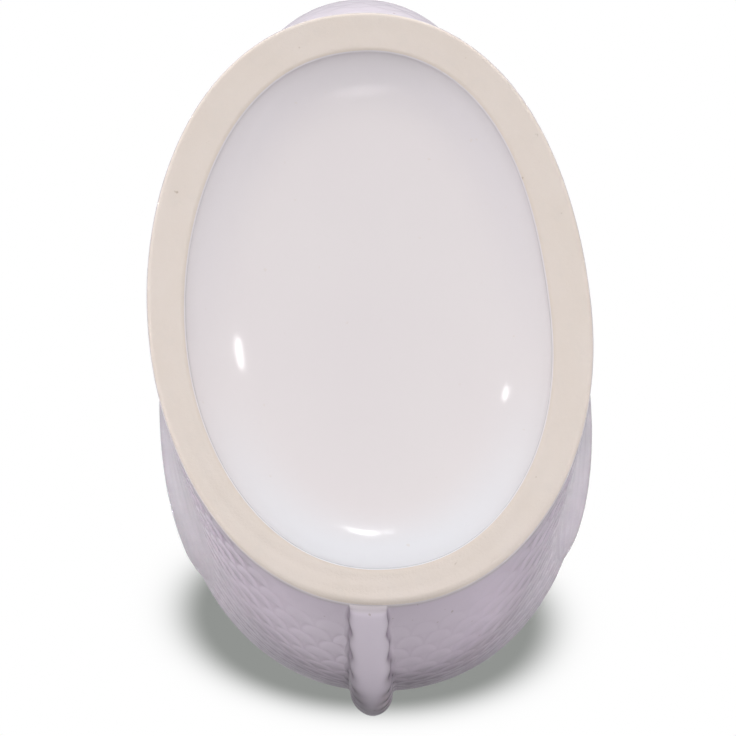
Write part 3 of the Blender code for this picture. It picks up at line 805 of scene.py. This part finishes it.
def makeHead():
    top = rimHeight(aroundAngles)
    rows, masks = [], []
    for share in np.linspace(0, 1, head["rows"]):
        height = gillLevel + (top - gillLevel) * share
        flare = np.clip(1 - (top - height) / head["flareReach"], 0, 1) ** head["flareCurve"]
        lift = headForm(aroundAngles, height) + head["lipFlare"] * flare
        rows.append(skinRow(height, lift))
        masks.append(scaleMaskAt(aroundAngles, height))
    for share in np.linspace(1, 0, head["innerRows"]):
        rows.append(skinRow(gillLevel + (top - gillLevel) * share, -wall))
        masks.append(np.zeros(around))
    rows = np.array(rows)
    piece = loftLoop("head", rows, lilac, scaleMarks(rows, np.array(masks)))
    growRelief(piece, scaleRelief, trunk["scales"])
    return keepPiece(piece, "lilac_glaze", "head_shell")


mouthLip = {**inMm(radius=5.6, sink=1.92), "facets": 28}


def makeMouthLip():
    rim, radius = rimHeight(aroundAngles), mouthLip["radius"]
    rows = []
    for turn in turns(mouthLip["facets"]):
        seat = skinRow(rim, -wall / 2 + radius * math.cos(turn))
        seat[:, 2] += seam + radius * (1 + math.sin(turn)) - mouthLip["sink"]
        rows.append(seat)
    return keepPiece(loftLoop("mouthLip", rows, lilac), "lilac_glaze", "mouth_lip")


# Tail: the hollow handle, which flares where it grows out of the back
tail = {
    **inMm(root=(30, 35), lowerPull=(70.3, 47), upperPull=(101.9, 138), tip=(72, 192), rootWidth=69.2,
        rootDepth=53.6, tipWidth=27, tipDepth=24, wall=5, tipPlug=13, portReach=76, fillet=9,
        scaleShift=100, scalesFrom=(40, 40), scalesOffSkin=(1, 9), overlap=1.2),
    "taper": 1.4, "portRows": 12, "around": 150, "rows": 270, "innerRows": 40,
    "core": (-5 * mm, rimLevel, 60),
    "scales": {
        "Columns": 24, "Row Pitch": 4.4 * mm, "Relief": 0.26 * mm, "Groove": 0.08 * mm, "Unevenness": 0.5,
    },
}


def tailCentre(share):
    share = np.asarray(share, float)[..., None]
    p0, p1, p2, p3 = (np.array([0, *tail[key]]) for key in ("root", "lowerPull", "upperPull", "tip"))
    rest = 1 - share
    centre = p0 * rest**3 + p1 * 3 * rest**2 * share + p2 * 3 * rest * share**2 + p3 * share**3
    along = (p1 - p0) * rest**2 + (p2 - p1) * 2 * rest * share + (p3 - p2) * share**2
    return centre + footMiddle * (1, 1, 0), along / np.linalg.norm(along, axis=-1, keepdims=True)


fineShares = np.linspace(0, 1, 400)
tailRun = runAlong(tailCentre(fineShares)[0])


def tailRing(share, inset=0.0):
    turn = turns(tail["around"])
    centre, along = tailCentre(share)
    side, inward = np.array([1.0, 0, 0]), np.array([0, -along[2], along[1]])
    taper = (1 - share) ** tail["taper"]
    halfWidth = (tail["tipWidth"] + (tail["rootWidth"] - tail["tipWidth"]) * taper) / 2 - inset
    halfDepth = (tail["tipDepth"] + (tail["rootDepth"] - tail["tipDepth"]) * taper) / 2 - inset
    ring = centre + np.outer(halfWidth * np.cos(turn), side) + np.outer(halfDepth * np.sin(turn), inward)
    out = np.outer(np.cos(turn) / halfWidth, side) + np.outer(np.sin(turn) / halfDepth, inward)
    return ring, out / np.linalg.norm(out, axis=1, keepdims=True)


def tailPortCutter():
    shares = np.linspace(0, tail["portReach"] / tailRun[-1], tail["portRows"])
    return loftCapped("portCutter", [tailRing(share, tail["wall"])[0] for share in shares], lilac)


def makeTail():
    fillet = tail["fillet"]
    rows, alongs, masks = [], [], []
    for length in np.linspace(tailRun[-1], 0, tail["rows"]):
        share = np.interp(length, tailRun, fineShares)
        ring, out = tailRing(share)
        away = skinDistance(ring)
        flare = fillet - np.sqrt(fillet**2 - (fillet - np.clip(away, 0, fillet)) ** 2)
        skinOut = skinNormal(ring)
        slide = out - (out * skinOut).sum(1, keepdims=True) * skinOut
        rows.append(ring + slide * flare[:, None])
        alongs.append(length + tail["scaleShift"])
        free = step(ring[:, 2], *tail["scalesFrom"]) * step(away, *tail["scalesOffSkin"])
        masks.append(free * ease((0.97 - share) / 0.2))
    for share in np.linspace(0, 1 - tail["tipPlug"] / tailRun[-1], tail["innerRows"]):
        rows.append(tailRing(share, tail["wall"])[0])
        alongs.append(tail["scaleShift"])
        masks.append(np.zeros(tail["around"]))
    marks = {
        "scaleAround": np.arange(tail["around"]) / tail["around"],
        "scaleAlong": np.array(alongs)[:, None],
        "scaleMask": np.array(masks),
    }
    piece = loftCapped("tail", rows, lilac, marks)
    growRelief(piece, scaleRelief, tail["scales"])
    core = [skinPoint(aroundAngles[::4], height, -tail["overlap"]) for height in np.linspace(*tail["core"])]
    carve(piece, loftCapped("tailCore", core, lilac))
    return keepPiece(piece, "lilac_glaze", "tail_tube")


# Tail fin: a forked fan whose front lobe rests on the back of the head
tailFin = {
    **inMm(seatLength=21, bite=3, edge=6, thinnest=0.4, smoothBelow=(0.9, 1.3), lead=20, plug=5),
    "stemReach": 0.62, "across": 150, "along": 100,
    "seatLow": browLevel - 2 * mm,
    "places": ((-10 * mm, 28 * mm), (7 * mm, 45 * mm), (26 * mm, 54 * mm)),
    "stops": (0.0, 0.27, 0.55, 0.8, 1.0),
    "rays": {"Rays": 9, "Relief": 0.9 * mm, "Streaks": 0.05 * mm},
}


def makeTailFin():
    tip, along = (value[0] for value in tailCentre(np.array([1.0])))
    inward = np.array([0, -along[2], along[1]])
    seats = (tailFin["seatLow"], tailFin["seatLow"] + tailFin["seatLength"])
    places = [(skinPoint(math.pi, height)[1] - tailFin["bite"], height) for height in seats]
    places += [(tip[1] + back, tip[2] + up) for back, up in tailFin["places"]]
    across = (1 - np.cos(np.linspace(0, math.pi, tailFin["across"]))) / 2
    out = np.sin(np.linspace(0, quarterTurn, tailFin["along"]))[None, :]
    free = np.zeros((len(across), 3))
    free[:, 0] = tip[0]
    for k in (0, 1):
        free[:, k + 1] = through(across, tailFin["stops"], [spot[k] for spot in places])
    root = tip + np.outer(tail["tipDepth"] / 2 * (1 - 2 * across), inward)
    o = out[..., None]
    lead = root + along * tailFin["lead"]
    lines = root[:, None] * (1 - o) ** 2 + lead[:, None] * 2 * o * (1 - o) + free[:, None] * o**2
    run = runAlong(lines)
    rim = np.minimum(run, run[-1:] - run)
    rim = np.minimum(rim, np.linalg.norm(free - root, axis=1)[:, None] * (1 - out))
    rounded = roundEdge(rim / (tailFin["edge"] / 2))
    bulge = np.sqrt(np.clip(1 - (1 - 2 * across) ** 2, 0, 1))[:, None] * tail["tipWidth"] / 2
    stem = bulge * (1 - ease(out / tailFin["stemReach"]))
    half = np.sqrt(stem**2 + (tailFin["edge"] / 2 * rounded * ease(out * 3)) ** 2)
    half = np.maximum(half, tailFin["thinnest"])
    mask = ease(out * 2.2) * ease(rounded * 1.4 - 0.3) * step(half, *tailFin["smoothBelow"])
    half[:, -1] = half[0] = half[-1] = 0
    push = half[..., None] * (1, 0, 0)
    plug = (root - along * tailFin["plug"])[:, None]
    near, away = (np.concatenate([plug, lines + push * side], 1) for side in (1, -1))
    marks = {
        "rayAcross": across[:, None],
        "rayAlong": np.concatenate([[0], out[0]]),
        "rayMask": np.concatenate([np.zeros((len(across), 1)), mask], 1),
    }
    piece = loftPatch("tailFin", near, away, lilac, marks, merge=1e-6)
    growRelief(piece, finRays, tailFin["rays"])
    return keepPiece(piece, "lilac_glaze", "tail_fin")


# Ridge fins on the centre line: scalloped sides that rise out of the skin with a fillet,
# flat crests near the ends and arched ones between them
bellyFin = {
    **inMm(x=1.8, low=1.0, crest=4.6, thickness=8.8, scallop=0.4),
    "start": 0.0,
    "high": bellyLevel + 36 * mm,
    "rays": {"Rays": 15, "Relief": 0.06 * mm, "Streaks": 0.0},
}
backFin = {
    **inMm(crest=5, thickness=7, scallop=0.6),
    "x": 0.0,
    "start": math.pi,
    "low": gillLevel - 38 * mm,
    "high": gillLevel + 36 * mm,
    "rays": {"Rays": 10, "Relief": 0.3 * mm, "Streaks": 0.0},
}
ridge = {
    **inMm(stub=0.9, endRound=1.6, fillet=1.0, hem=0.2, depth=1.6),
    "endWidth": 0.84, "fullness": 0.7, "filletShare": 0.45, "flat": 4.0, "arched": 1.9, "rows": 300,
    "footPaintedShade": 0.9,
}


def skinAtX(start, x, height):
    angle = np.full(np.broadcast(x, height).shape, start)
    for _ in range(14):
        here = skinPoint(angle, height)[..., 0] - footMiddle[0]
        slope = (skinPoint(angle + 1e-3, height)[..., 0] - footMiddle[0] - here) / 1e-3
        angle = angle + np.clip((x - here) / slope, -0.1, 0.1)
    return skinPoint(angle, height)


# Half of the section: a fillet out of the skin, then an arch up to the crest
def ridgeSide(half, top, boxiness):
    fillet = min(ridge["fillet"], ridge["filletShare"] * top)
    bend = np.linspace(0, 1, 7) * math.pi / 2
    lap = np.linspace(0, quarterTurn, 26)[1:]
    foot, climb = half + fillet * (1 - np.sin(bend)), fillet * (1 - np.cos(bend))
    arch = half * np.cos(lap) ** (2 / boxiness)
    rise = fillet + (top - fillet) * np.sin(lap) ** (2 / boxiness)
    across = np.concatenate([[half + fillet + ridge["hem"]], foot, arch])
    return across, np.concatenate([[-tuck], climb, rise])


def bothSides(values, sign=1):
    return np.concatenate([values, sign * values[-2::-1]])


def makeRidgeFin(name, fin, node):
    outward = -1 if fin["start"] == 0.0 else 1
    across, rises, masks, paintedLights = [], [], [], []
    shares = np.linspace(0, 1, ridge["rows"])
    length = fin["high"] - fin["low"]
    for share in shares:
        ends = min(share, 1 - share)
        arching = max(math.sin(math.pi * share), 0.0) ** ridge["fullness"]
        top = ridge["stub"] * roundEdge(ends * length / ridge["endRound"]) + fin["crest"] * arching
        scallop = fin["scallop"] * (math.sin(math.pi * fin["rays"]["Rays"] * share) ** 2 - 0.5)
        width = ridge["endWidth"] + (1 - ridge["endWidth"]) * ease(ends / 0.35)
        half = fin["thickness"] / 2 * width + scallop * ease(ends * 20)
        boxiness = ridge["flat"] + (ridge["arched"] - ridge["flat"]) * step(ends, 0.1, 0.25)
        x, rise = ridgeSide(half, max(top, 0.05 * mm), boxiness)
        rising = rise / max(top, mm)
        # Painted shade low on the fin's sides and a painted highlight on its crest
        poolAndPaintedLight = ridge["footPaintedShade"] * ease(rising / 0.15) * (1 - step(rising, 0.6, 0.25))
        crest = step(rising, 0.8, 0.2) - poolAndPaintedLight
        across.append(bothSides(x, -1))
        rises.append(bothSides(rise))
        masks.append(bothSides(ease(ends * 14) * ease(rising * 3) * step(x / half, 0.82, 0.18)))
        paintedLights.append(bothSides(crest))
    across = np.array(across)
    height = np.repeat((fin["low"] + length * shares)[:, None], across.shape[1], 1)
    over = skinAtX(fin["start"], fin["x"] + across, height)
    under = over.copy()
    over[..., 1] += outward * np.array(rises)
    under[..., 1] -= outward * ridge["depth"]
    marks = {
        "rayAcross": shares[:, None], "rayAlong": 0.0, "rayMask": np.array(masks), "rayPale": np.array(paintedLights),
    }
    piece = loftPatch(name, over, under, lilac, marks)
    growRelief(piece, finRays, fin["rays"])
    return keepPiece(piece, "lilac_glaze", node)


def onSkin(side, angle, height, across, up, proud):
    turned = angle + across / skinSpeed(angle, height)
    lift = proud + headForm(turned, height + up)
    return skinPoint(turned if side > 0 else fullTurn - turned, height + up, lift)


def makeSideFin(name, side, node):
    fans, rings = sideFin["rows"]
    across = 0.5 * np.sin(np.linspace(-quarterTurn, quarterTurn, fans))[:, None]
    out = ((1 - np.cos(np.linspace(0, math.pi, rings))) / 2)[None, :]
    spread, reach = fanSpread(across), fanReach(across)
    turn, radius = spread * across, sideFin["neck"] + reach * out
    rim = np.minimum((0.5 - np.abs(across)) * spread * radius, np.minimum(1 - out, out) * reach)
    rounded = roundEdge(rim / (sideFin["edgeRound"] * (1 + sideFin["frontRound"] * ease(-across / 0.3))))
    corner = step(-across, 0.1, 0.4) * step(out, 0.4, 0.5)
    thick = seam + sideFin["thickness"] - sideFin["thinning"] * out
    thick = thick * (1 - sideFin["cornerThinning"] * corner)
    thick = thick * (sideFin["rootThickness"] + (1 - sideFin["rootThickness"]) * ease(out / 0.2))
    thick = thick * (1 - sideFin["endThinning"] * step(out, 0.7, 0.3))
    proud = thick * rounded - tuck * (1 - rounded)
    sideways, up = radius * np.sin(turn), sideFin["neck"] - radius * np.cos(turn)
    spot = sideFin["angle"], sideFin["top"]
    over, under = (onSkin(side, *spot, sideways, up, lift) for lift in (proud, -bury))
    inner = ease(rounded * 1.5 - 0.5)
    marks = {
        "rayAcross": across + 0.5,
        "rayAlong": out,
        "rayMask": inner * ease(out * 5) * (1 - sideFin["rayFading"] * step(out, 0.2, 0.3)),
        "growthMask": inner * step(out, 0.6, 0.2),
    }
    piece = loftPatch(name, over, under, lilac, marks)
    growRelief(piece, finRays, sideFin["rays"])
    return keepPiece(piece, "lilac_glaze", node)


# Gill covers: plates that rise out of the cheek to a thick free edge below, with curved ridges along it
gillCover = {
    **inMm(width=54, tall=44, relief=1.9, topSink=0.55, edgeRound=1.6, ridgeRise=0.55),
    "hub": 0.95, "ridgeWidth": 0.035, "around": 264,
    "angle": math.radians(85),
    "height": gillLevel + 14 * mm,
    "ridges": (0.42, 0.58, 0.72, 0.85),
}


# A capped patch on the skin, as high as proud says
def polarPatch(name, side, spot, halfWidth, halfHeight, sizes, proud, node, count):
    turn, inner, rows = turns(count), (0.05, 0.4, 0.8, 1.0), []
    for size in (*inner, *sizes[::-1]):
        lift = np.full(count, -bury) if len(rows) < len(inner) else proud(size, turn)
        sideways, up = halfWidth * size * np.cos(turn), halfHeight * size * np.sin(turn)
        rows.append(onSkin(side, *spot, sideways, up, lift))
    return keepPiece(loftCapped(name, rows, lilac), "lilac_glaze", node)


def makeGillCover(name, side, node):
    halfWidth, halfHeight, hub = gillCover["width"] / 2, gillCover["tall"] / 2, gillCover["hub"]

    def proud(size, turn):
        rounded = roundEdge((1 - size) * halfHeight / gillCover["edgeRound"])
        up = size * np.sin(turn)
        fromHub = np.hypot(size * np.cos(turn), up - hub) / (1 + hub)
        plate = seam + gillCover["relief"] * ease((0.8 - up) / 1.4)
        plate = plate - gillCover["topSink"] * step(up, 0.1, 0.6)
        ridges = sum(bell(fromHub, at, gillCover["ridgeWidth"]) for at in gillCover["ridges"])
        plate = plate + gillCover["ridgeRise"] * (ridges - 0.4) * step(fromHub, 0.2, 0.25)
        return plate * rounded - tuck * (1 - rounded)

    sizes = np.concatenate([np.linspace(0.03, 0.9, 84), np.linspace(0.9, 1.0, 16)[1:]])
    spot = (gillCover["angle"], gillCover["height"])
    return polarPatch(name, side, spot, halfWidth, halfHeight, sizes, proud, node, gillCover["around"])


# Eyes: a dome with a raised pupil, in a rolled collar
eye = {
    **inMm(diameter=16, underCollar=0.2, edge=1.6, dome=3.8, pupilRise=0.5, groove=0.45),
    "pupil": 0.42, "pupilEdge": 0.08, "rows": 70, "around": 120,
    "grooveAt": (0.49, 0.035),
}
collar = {**inMm(inside=7.7, outside=12.5, rise=3.2, depth=1.4), "rows": 30, "around": 140}
eyeSpot = (head["eyeAngle"], head["eyeHeight"])


def makeEye(name, side, node):
    def proud(size, turn):
        dome = eye["edge"] + eye["dome"] * math.sqrt(max(1 - size * size, 0))
        pupil = eye["pupilRise"] * ease((eye["pupil"] - size) / eye["pupilEdge"] + 0.5)
        return np.full(len(turn), seam + dome + pupil - eye["groove"] * bell(size, *eye["grooveAt"]))

    half = eye["diameter"] / 2 + eye["underCollar"]
    sizes = np.sin(np.linspace(0.03, quarterTurn, eye["rows"]))
    return polarPatch(name, side, eyeSpot, half, half, sizes, proud, node, eye["around"])


def makeEyeCollar(name, side, node):
    middle, half = (collar["inside"] + collar["outside"]) / 2, (collar["outside"] - collar["inside"]) / 2
    turn, rows = turns(collar["around"]), []
    for lap in turns(collar["rows"]):
        radius = middle + half * math.cos(lap)
        lift = seam + collar["rise"] * math.sin(lap) if lap <= math.pi else collar["depth"] * math.sin(lap)
        rows.append(onSkin(side, *eyeSpot, radius * np.cos(turn), radius * np.sin(turn), lift))
    return keepPiece(loftLoop(name, rows, lilac), "lilac_glaze", node)


makeFootBand()
makeBaseDish()
makeTrunk(tailPortCutter())
makeHead()
makeMouthLip()
makeTail()
makeTailFin()
frontFin = makeRidgeFin("bellyFin", bellyFin, "belly_fin")
makeRidgeFin("backFin", backFin, "dorsal_fin")
for word, side in (("left", 1), ("right", -1)):
    makeSideFin(word + "SideFin", side, word + "_side_fin")
    makeGillCover(word + "GillCover", side, word + "_gill_cover")
    makeEye(word + "Eye", side, word + "_eye")
    makeEyeCollar(word + "EyeCollar", side, word + "_eye_ring")
print("jug made")


# Camera: below the foot, as the jug stands on its mouth in the photograph
shot = {
    **inMm(shiftAcross=-0.061, shiftUp=12.872),
    "distance": 0.5, "focalPixels": 2471.8, "imageWidth": 736, "sensor": 36.0,
    "elevation": math.radians(80),
    "roll": math.radians(-1.8),
    "clip": (0.01, 20),
}


def makeCamera():
    c, s = math.cos(shot["elevation"]), math.sin(shot["elevation"])
    look, right, up = Vector((0, c, s)), Vector((-1, 0, 0)), Vector((0, s, -c))
    c, s = math.cos(shot["roll"]), math.sin(shot["roll"])
    right, up = right * c + up * s, up * c - right * s
    target = Vector(footMiddle) - right * shot["shiftAcross"] - up * shot["shiftUp"]
    spot = target - look * shot["distance"]
    data = bpy.data.cameras.new("photoCamera")
    data.sensor_width = shot["sensor"]
    data.lens = shot["sensor"] * shot["focalPixels"] / shot["imageWidth"]
    data.clip_start, data.clip_end = shot["clip"]
    camera = putObject("photoCamera", data)
    camera.matrix_world = Matrix.Translation(spot) @ Matrix((right, up, -look)).transposed().to_4x4()
    bpy.context.scene.camera = camera
    return spot, up


# Stage: a pale floor under the foot with painted shade from ambient occlusion, and a pale table under the
# mouth for the photograph's side with a painted soft oval of contact shadow. Each is seen from its own side
# only, and neither takes light from the jug.
stage = {
    **inMm(reach=90, tableHeight=250, tableSpot=(3.9, -54.2), tableOval=(47.5, 24.3)),
    "size": 1.6, "deep": 0.4, "clear": 0.95, "samples": 24, "tableFade": 0.212,
    "pale": (1.0, 1.0, 1.0, 1),
    "shadow": (0.30, 0.305, 0.30, 1),
    "tableTurn": math.radians(4.8),
    "tableShadow": (0.283, 0.295, 0.283, 1),
}


def floorColour(tree):
    # Painted shade: darker where ambient occlusion finds the jug near
    hollow = {"Distance": stage["reach"]}
    light = addNode(tree, "ShaderNodeAmbientOcclusion", "AO", hollow, samples=stage["samples"])
    return blendNode(rangeNode(light, stage["deep"], stage["clear"]), stage["shadow"], stage["pale"])


def tableColour(tree):
    # Painted shadow: a soft dark oval on the table, darkest inside it
    inputs = {
        "Vector": addNode(tree, "ShaderNodeTexCoord", "Object"),
        "Location": (*stage["tableSpot"], stage["tableHeight"]),
        "Rotation": (0, 0, stage["tableTurn"]),
        "Scale": (*stage["tableOval"], 1),
    }
    inOval = addNode(tree, "ShaderNodeMapping", "Vector", inputs, vector_type="TEXTURE")
    away = addNode(tree, "ShaderNodeVectorMath", "Value", {0: inOval}, operation="LENGTH")
    share = bellOf(away.by("MAXIMUM", 1.0), 1.0, stage["tableFade"])
    return blendNode(share, stage["pale"], stage["tableShadow"])


def makeGround(name, height, corners, paint):
    half = stage["size"] / 2
    data = bpy.data.meshes.new(name)
    data.from_pydata([(x * half, y * half, height) for x, y in corners], [], [(0, 1, 2, 3)])
    material = bpy.data.materials.new(name)
    material.use_nodes = True
    data.materials.append(material)
    ground = putObject(name, data)
    for ray in ("diffuse", "glossy", "transmission", "volume_scatter", "shadow"):
        setattr(ground, "visible_" + ray, False)
    tree = material.node_tree
    tree.nodes.remove(tree.nodes["Principled BSDF"])
    glow = addNode(tree, "ShaderNodeEmission", "Emission", {"Color": paint(tree)})
    clear = addNode(tree, "ShaderNodeBsdfTransparent", "BSDF")
    behind = addNode(tree, "ShaderNodeNewGeometry", "Backfacing")
    seen = addNode(tree, "ShaderNodeMixShader", "Shader", {"Fac": behind, 1: glow, 2: clear})
    seen.into(tree.nodes["Material Output"].inputs["Surface"])


# Soft lights round the upright jug, and some on the photograph's side under the foot.
# Only a glossy light gives a mirror image in the glaze. A light with a spread reaches a small patch.
lights = {
    "keyAbove": {"spot": (-0.8, -0.9, 0.75), "size": 0.9, "power": 1.4},
    "glintAbove": {"spot": (-1.1, -0.9, 0.55), "size": 0.5, "power": 1.4, "glossy": True},
    "fillAbove": {"spot": (1.1, -0.3, 0.35), "size": 0.9, "power": 2.3, "glossy": True},
    "rimAbove": {"spot": (0.0, 1.15, 0.45), "size": 0.9, "power": 2.9, "glossy": True},
    "backLevel": {"spot": (0.0, 1.1, 0.12), "size": 0.5, "power": 10.0},
    "leftLevel": {"spot": (0.9, 0.05, 0.02), "size": 0.35, "power": 4.1},
    "rightLevel": {"spot": (-0.9, 0.03, 0.02), "size": 0.35, "power": 3.4},
    "leftBelly": {
        "spot": (0.9, -0.08, 0.05), "aim": (0, -0.03, 0.045), "size": 0.06, "power": 0.0070, "spread": 9,
    },
    "rightBelly": {
        "spot": (-0.9, -0.12, 0.05), "aim": (0, -0.03, 0.045), "size": 0.06, "power": 0.0055, "spread": 9,
    },
    "leftLow": {"spot": (0.6, 0.5, -0.35), "size": 0.4, "power": 1.2},
    "rightLow": {"spot": (-0.6, 0.5, -0.35), "size": 0.4, "power": 0.9},
    "topLow": {"spot": (0.0, 0.7, -0.45), "size": 0.4, "power": 0.5},
    "keyBelow": {"spot": (-0.035, 0.312, -0.635), "size": 0.055, "power": 0.11, "glossy": True},
    "rightBelow": {
        "spot": (0.0168, -0.0055, -0.0515), "aim": (0.0276, -0.0178, 0.0062),
        "size": 0.0055, "power": 3e-6, "glossy": True, "spread": 10,
    },
    "leftBelow": {
        "spot": (-0.0158, -0.0190, -0.0315), "aim": (-0.0267, -0.0278, 0.0060),
        "size": 0.0025, "power": 6e-7, "glossy": True, "spread": 10,
    },
    "headFront": {
        "spot": (-0.25, -1.1, 0.55), "aim": (0, -0.06, 0.195), "size": 0.3, "power": 0.12, "spread": 13,
    },
    "overMouth": {"spot": (0, -0.03, 1.2), "aim": (0, -0.03, 0.2), "size": 0.2, "power": 0.02, "spread": 9},
}
studio = {
    "aim": (0, -0.01, 0.1),
    "fromBelow": (-0.55, -0.05, 0.025, 0.03),
    "tint": (0.98, 0.985, 1.0, 1),
    "mirrored": (0.2, 0.6, 0.0, 0.40),
    "mirroredFrom": (-0.2, 0.06),
    "backdrop": {"Color": (1, 1, 1, 1), "Strength": 1.0},
    "frontLift": 30 * mm,
    "frontSize": 0.12,
    "frontPower": 2.15,
}


def makeLight(name, spot, size, power, aim, glossy=False, spread=180):
    data = bpy.data.lights.new(name, "AREA")
    data.shape = "DISK"
    data.size = size
    data.energy = power
    data.spread = math.radians(spread)
    light = putObject(name, data)
    light.location = spot
    light.rotation_mode = "QUATERNION"
    light.rotation_quaternion = (Vector(aim) - Vector(spot)).to_track_quat("-Z", "Y")
    light.visible_camera = False
    light.visible_glossy = glossy


# Faint light all round, and plain white behind the jug.
# The glaze mirrors a pale sky that is darker towards the front.
def makeWorld():
    world = bpy.data.worlds.new("studio")
    world.use_nodes = True
    tree = world.node_tree
    way = {"Vector": addNode(tree, "ShaderNodeTexCoord", "Generated")}
    back, up = (addNode(tree, "ShaderNodeSeparateXYZ", axis, way) for axis in "YZ")
    mirror, camera = (addNode(tree, "ShaderNodeLightPath", ray) for ray in ("Is Glossy Ray", "Is Camera Ray"))
    sky = rangeNode(up, *studio["mirrored"]) * rangeNode(back, *studio["mirroredFrom"])
    soft = tree.nodes["Background"]
    soft.inputs["Color"].default_value = studio["tint"]
    (rangeNode(up, *studio["fromBelow"]) + sky * mirror).into(soft.inputs["Strength"])
    plain = addNode(tree, "ShaderNodeBackground", "Background", studio["backdrop"])
    sides = {"Fac": camera, 1: Wire(tree, soft.outputs["Background"]), 2: plain}
    addNode(tree, "ShaderNodeMixShader", "Shader", sides).into(tree.nodes["World Output"].inputs["Surface"])
    bpy.context.scene.world = world


cameraSpot, cameraUp = makeCamera()
corners = [(-1, -1), (1, -1), (1, 1), (-1, 1)]  # seen from above, and backwards from below
makeGround("floor", 0.0, corners, floorColour)
makeGround("table", stage["tableHeight"], corners[::-1], tableColour)
for name, sizes in lights.items():
    makeLight(name, **{"aim": studio["aim"], **sizes})
# The lights at the sides would edge the front fin with white
unlit = bpy.data.collections.new("notLitFromTheSides")
unlit.objects.link(frontFin)
unlit.collection_objects[0].light_linking.link_state = "EXCLUDE"
for name in ("leftLevel", "rightLevel", "leftBelly", "rightBelly"):
    bpy.data.objects[name].light_linking.receiver_collection = unlit
frontSpot = cameraSpot + cameraUp * studio["frontLift"]
makeLight("frontBelow", frontSpot, studio["frontSize"], studio["frontPower"], Vector(footMiddle))
makeWorld()
bpy.context.scene.view_settings.view_transform = "Standard"
print("studio made")
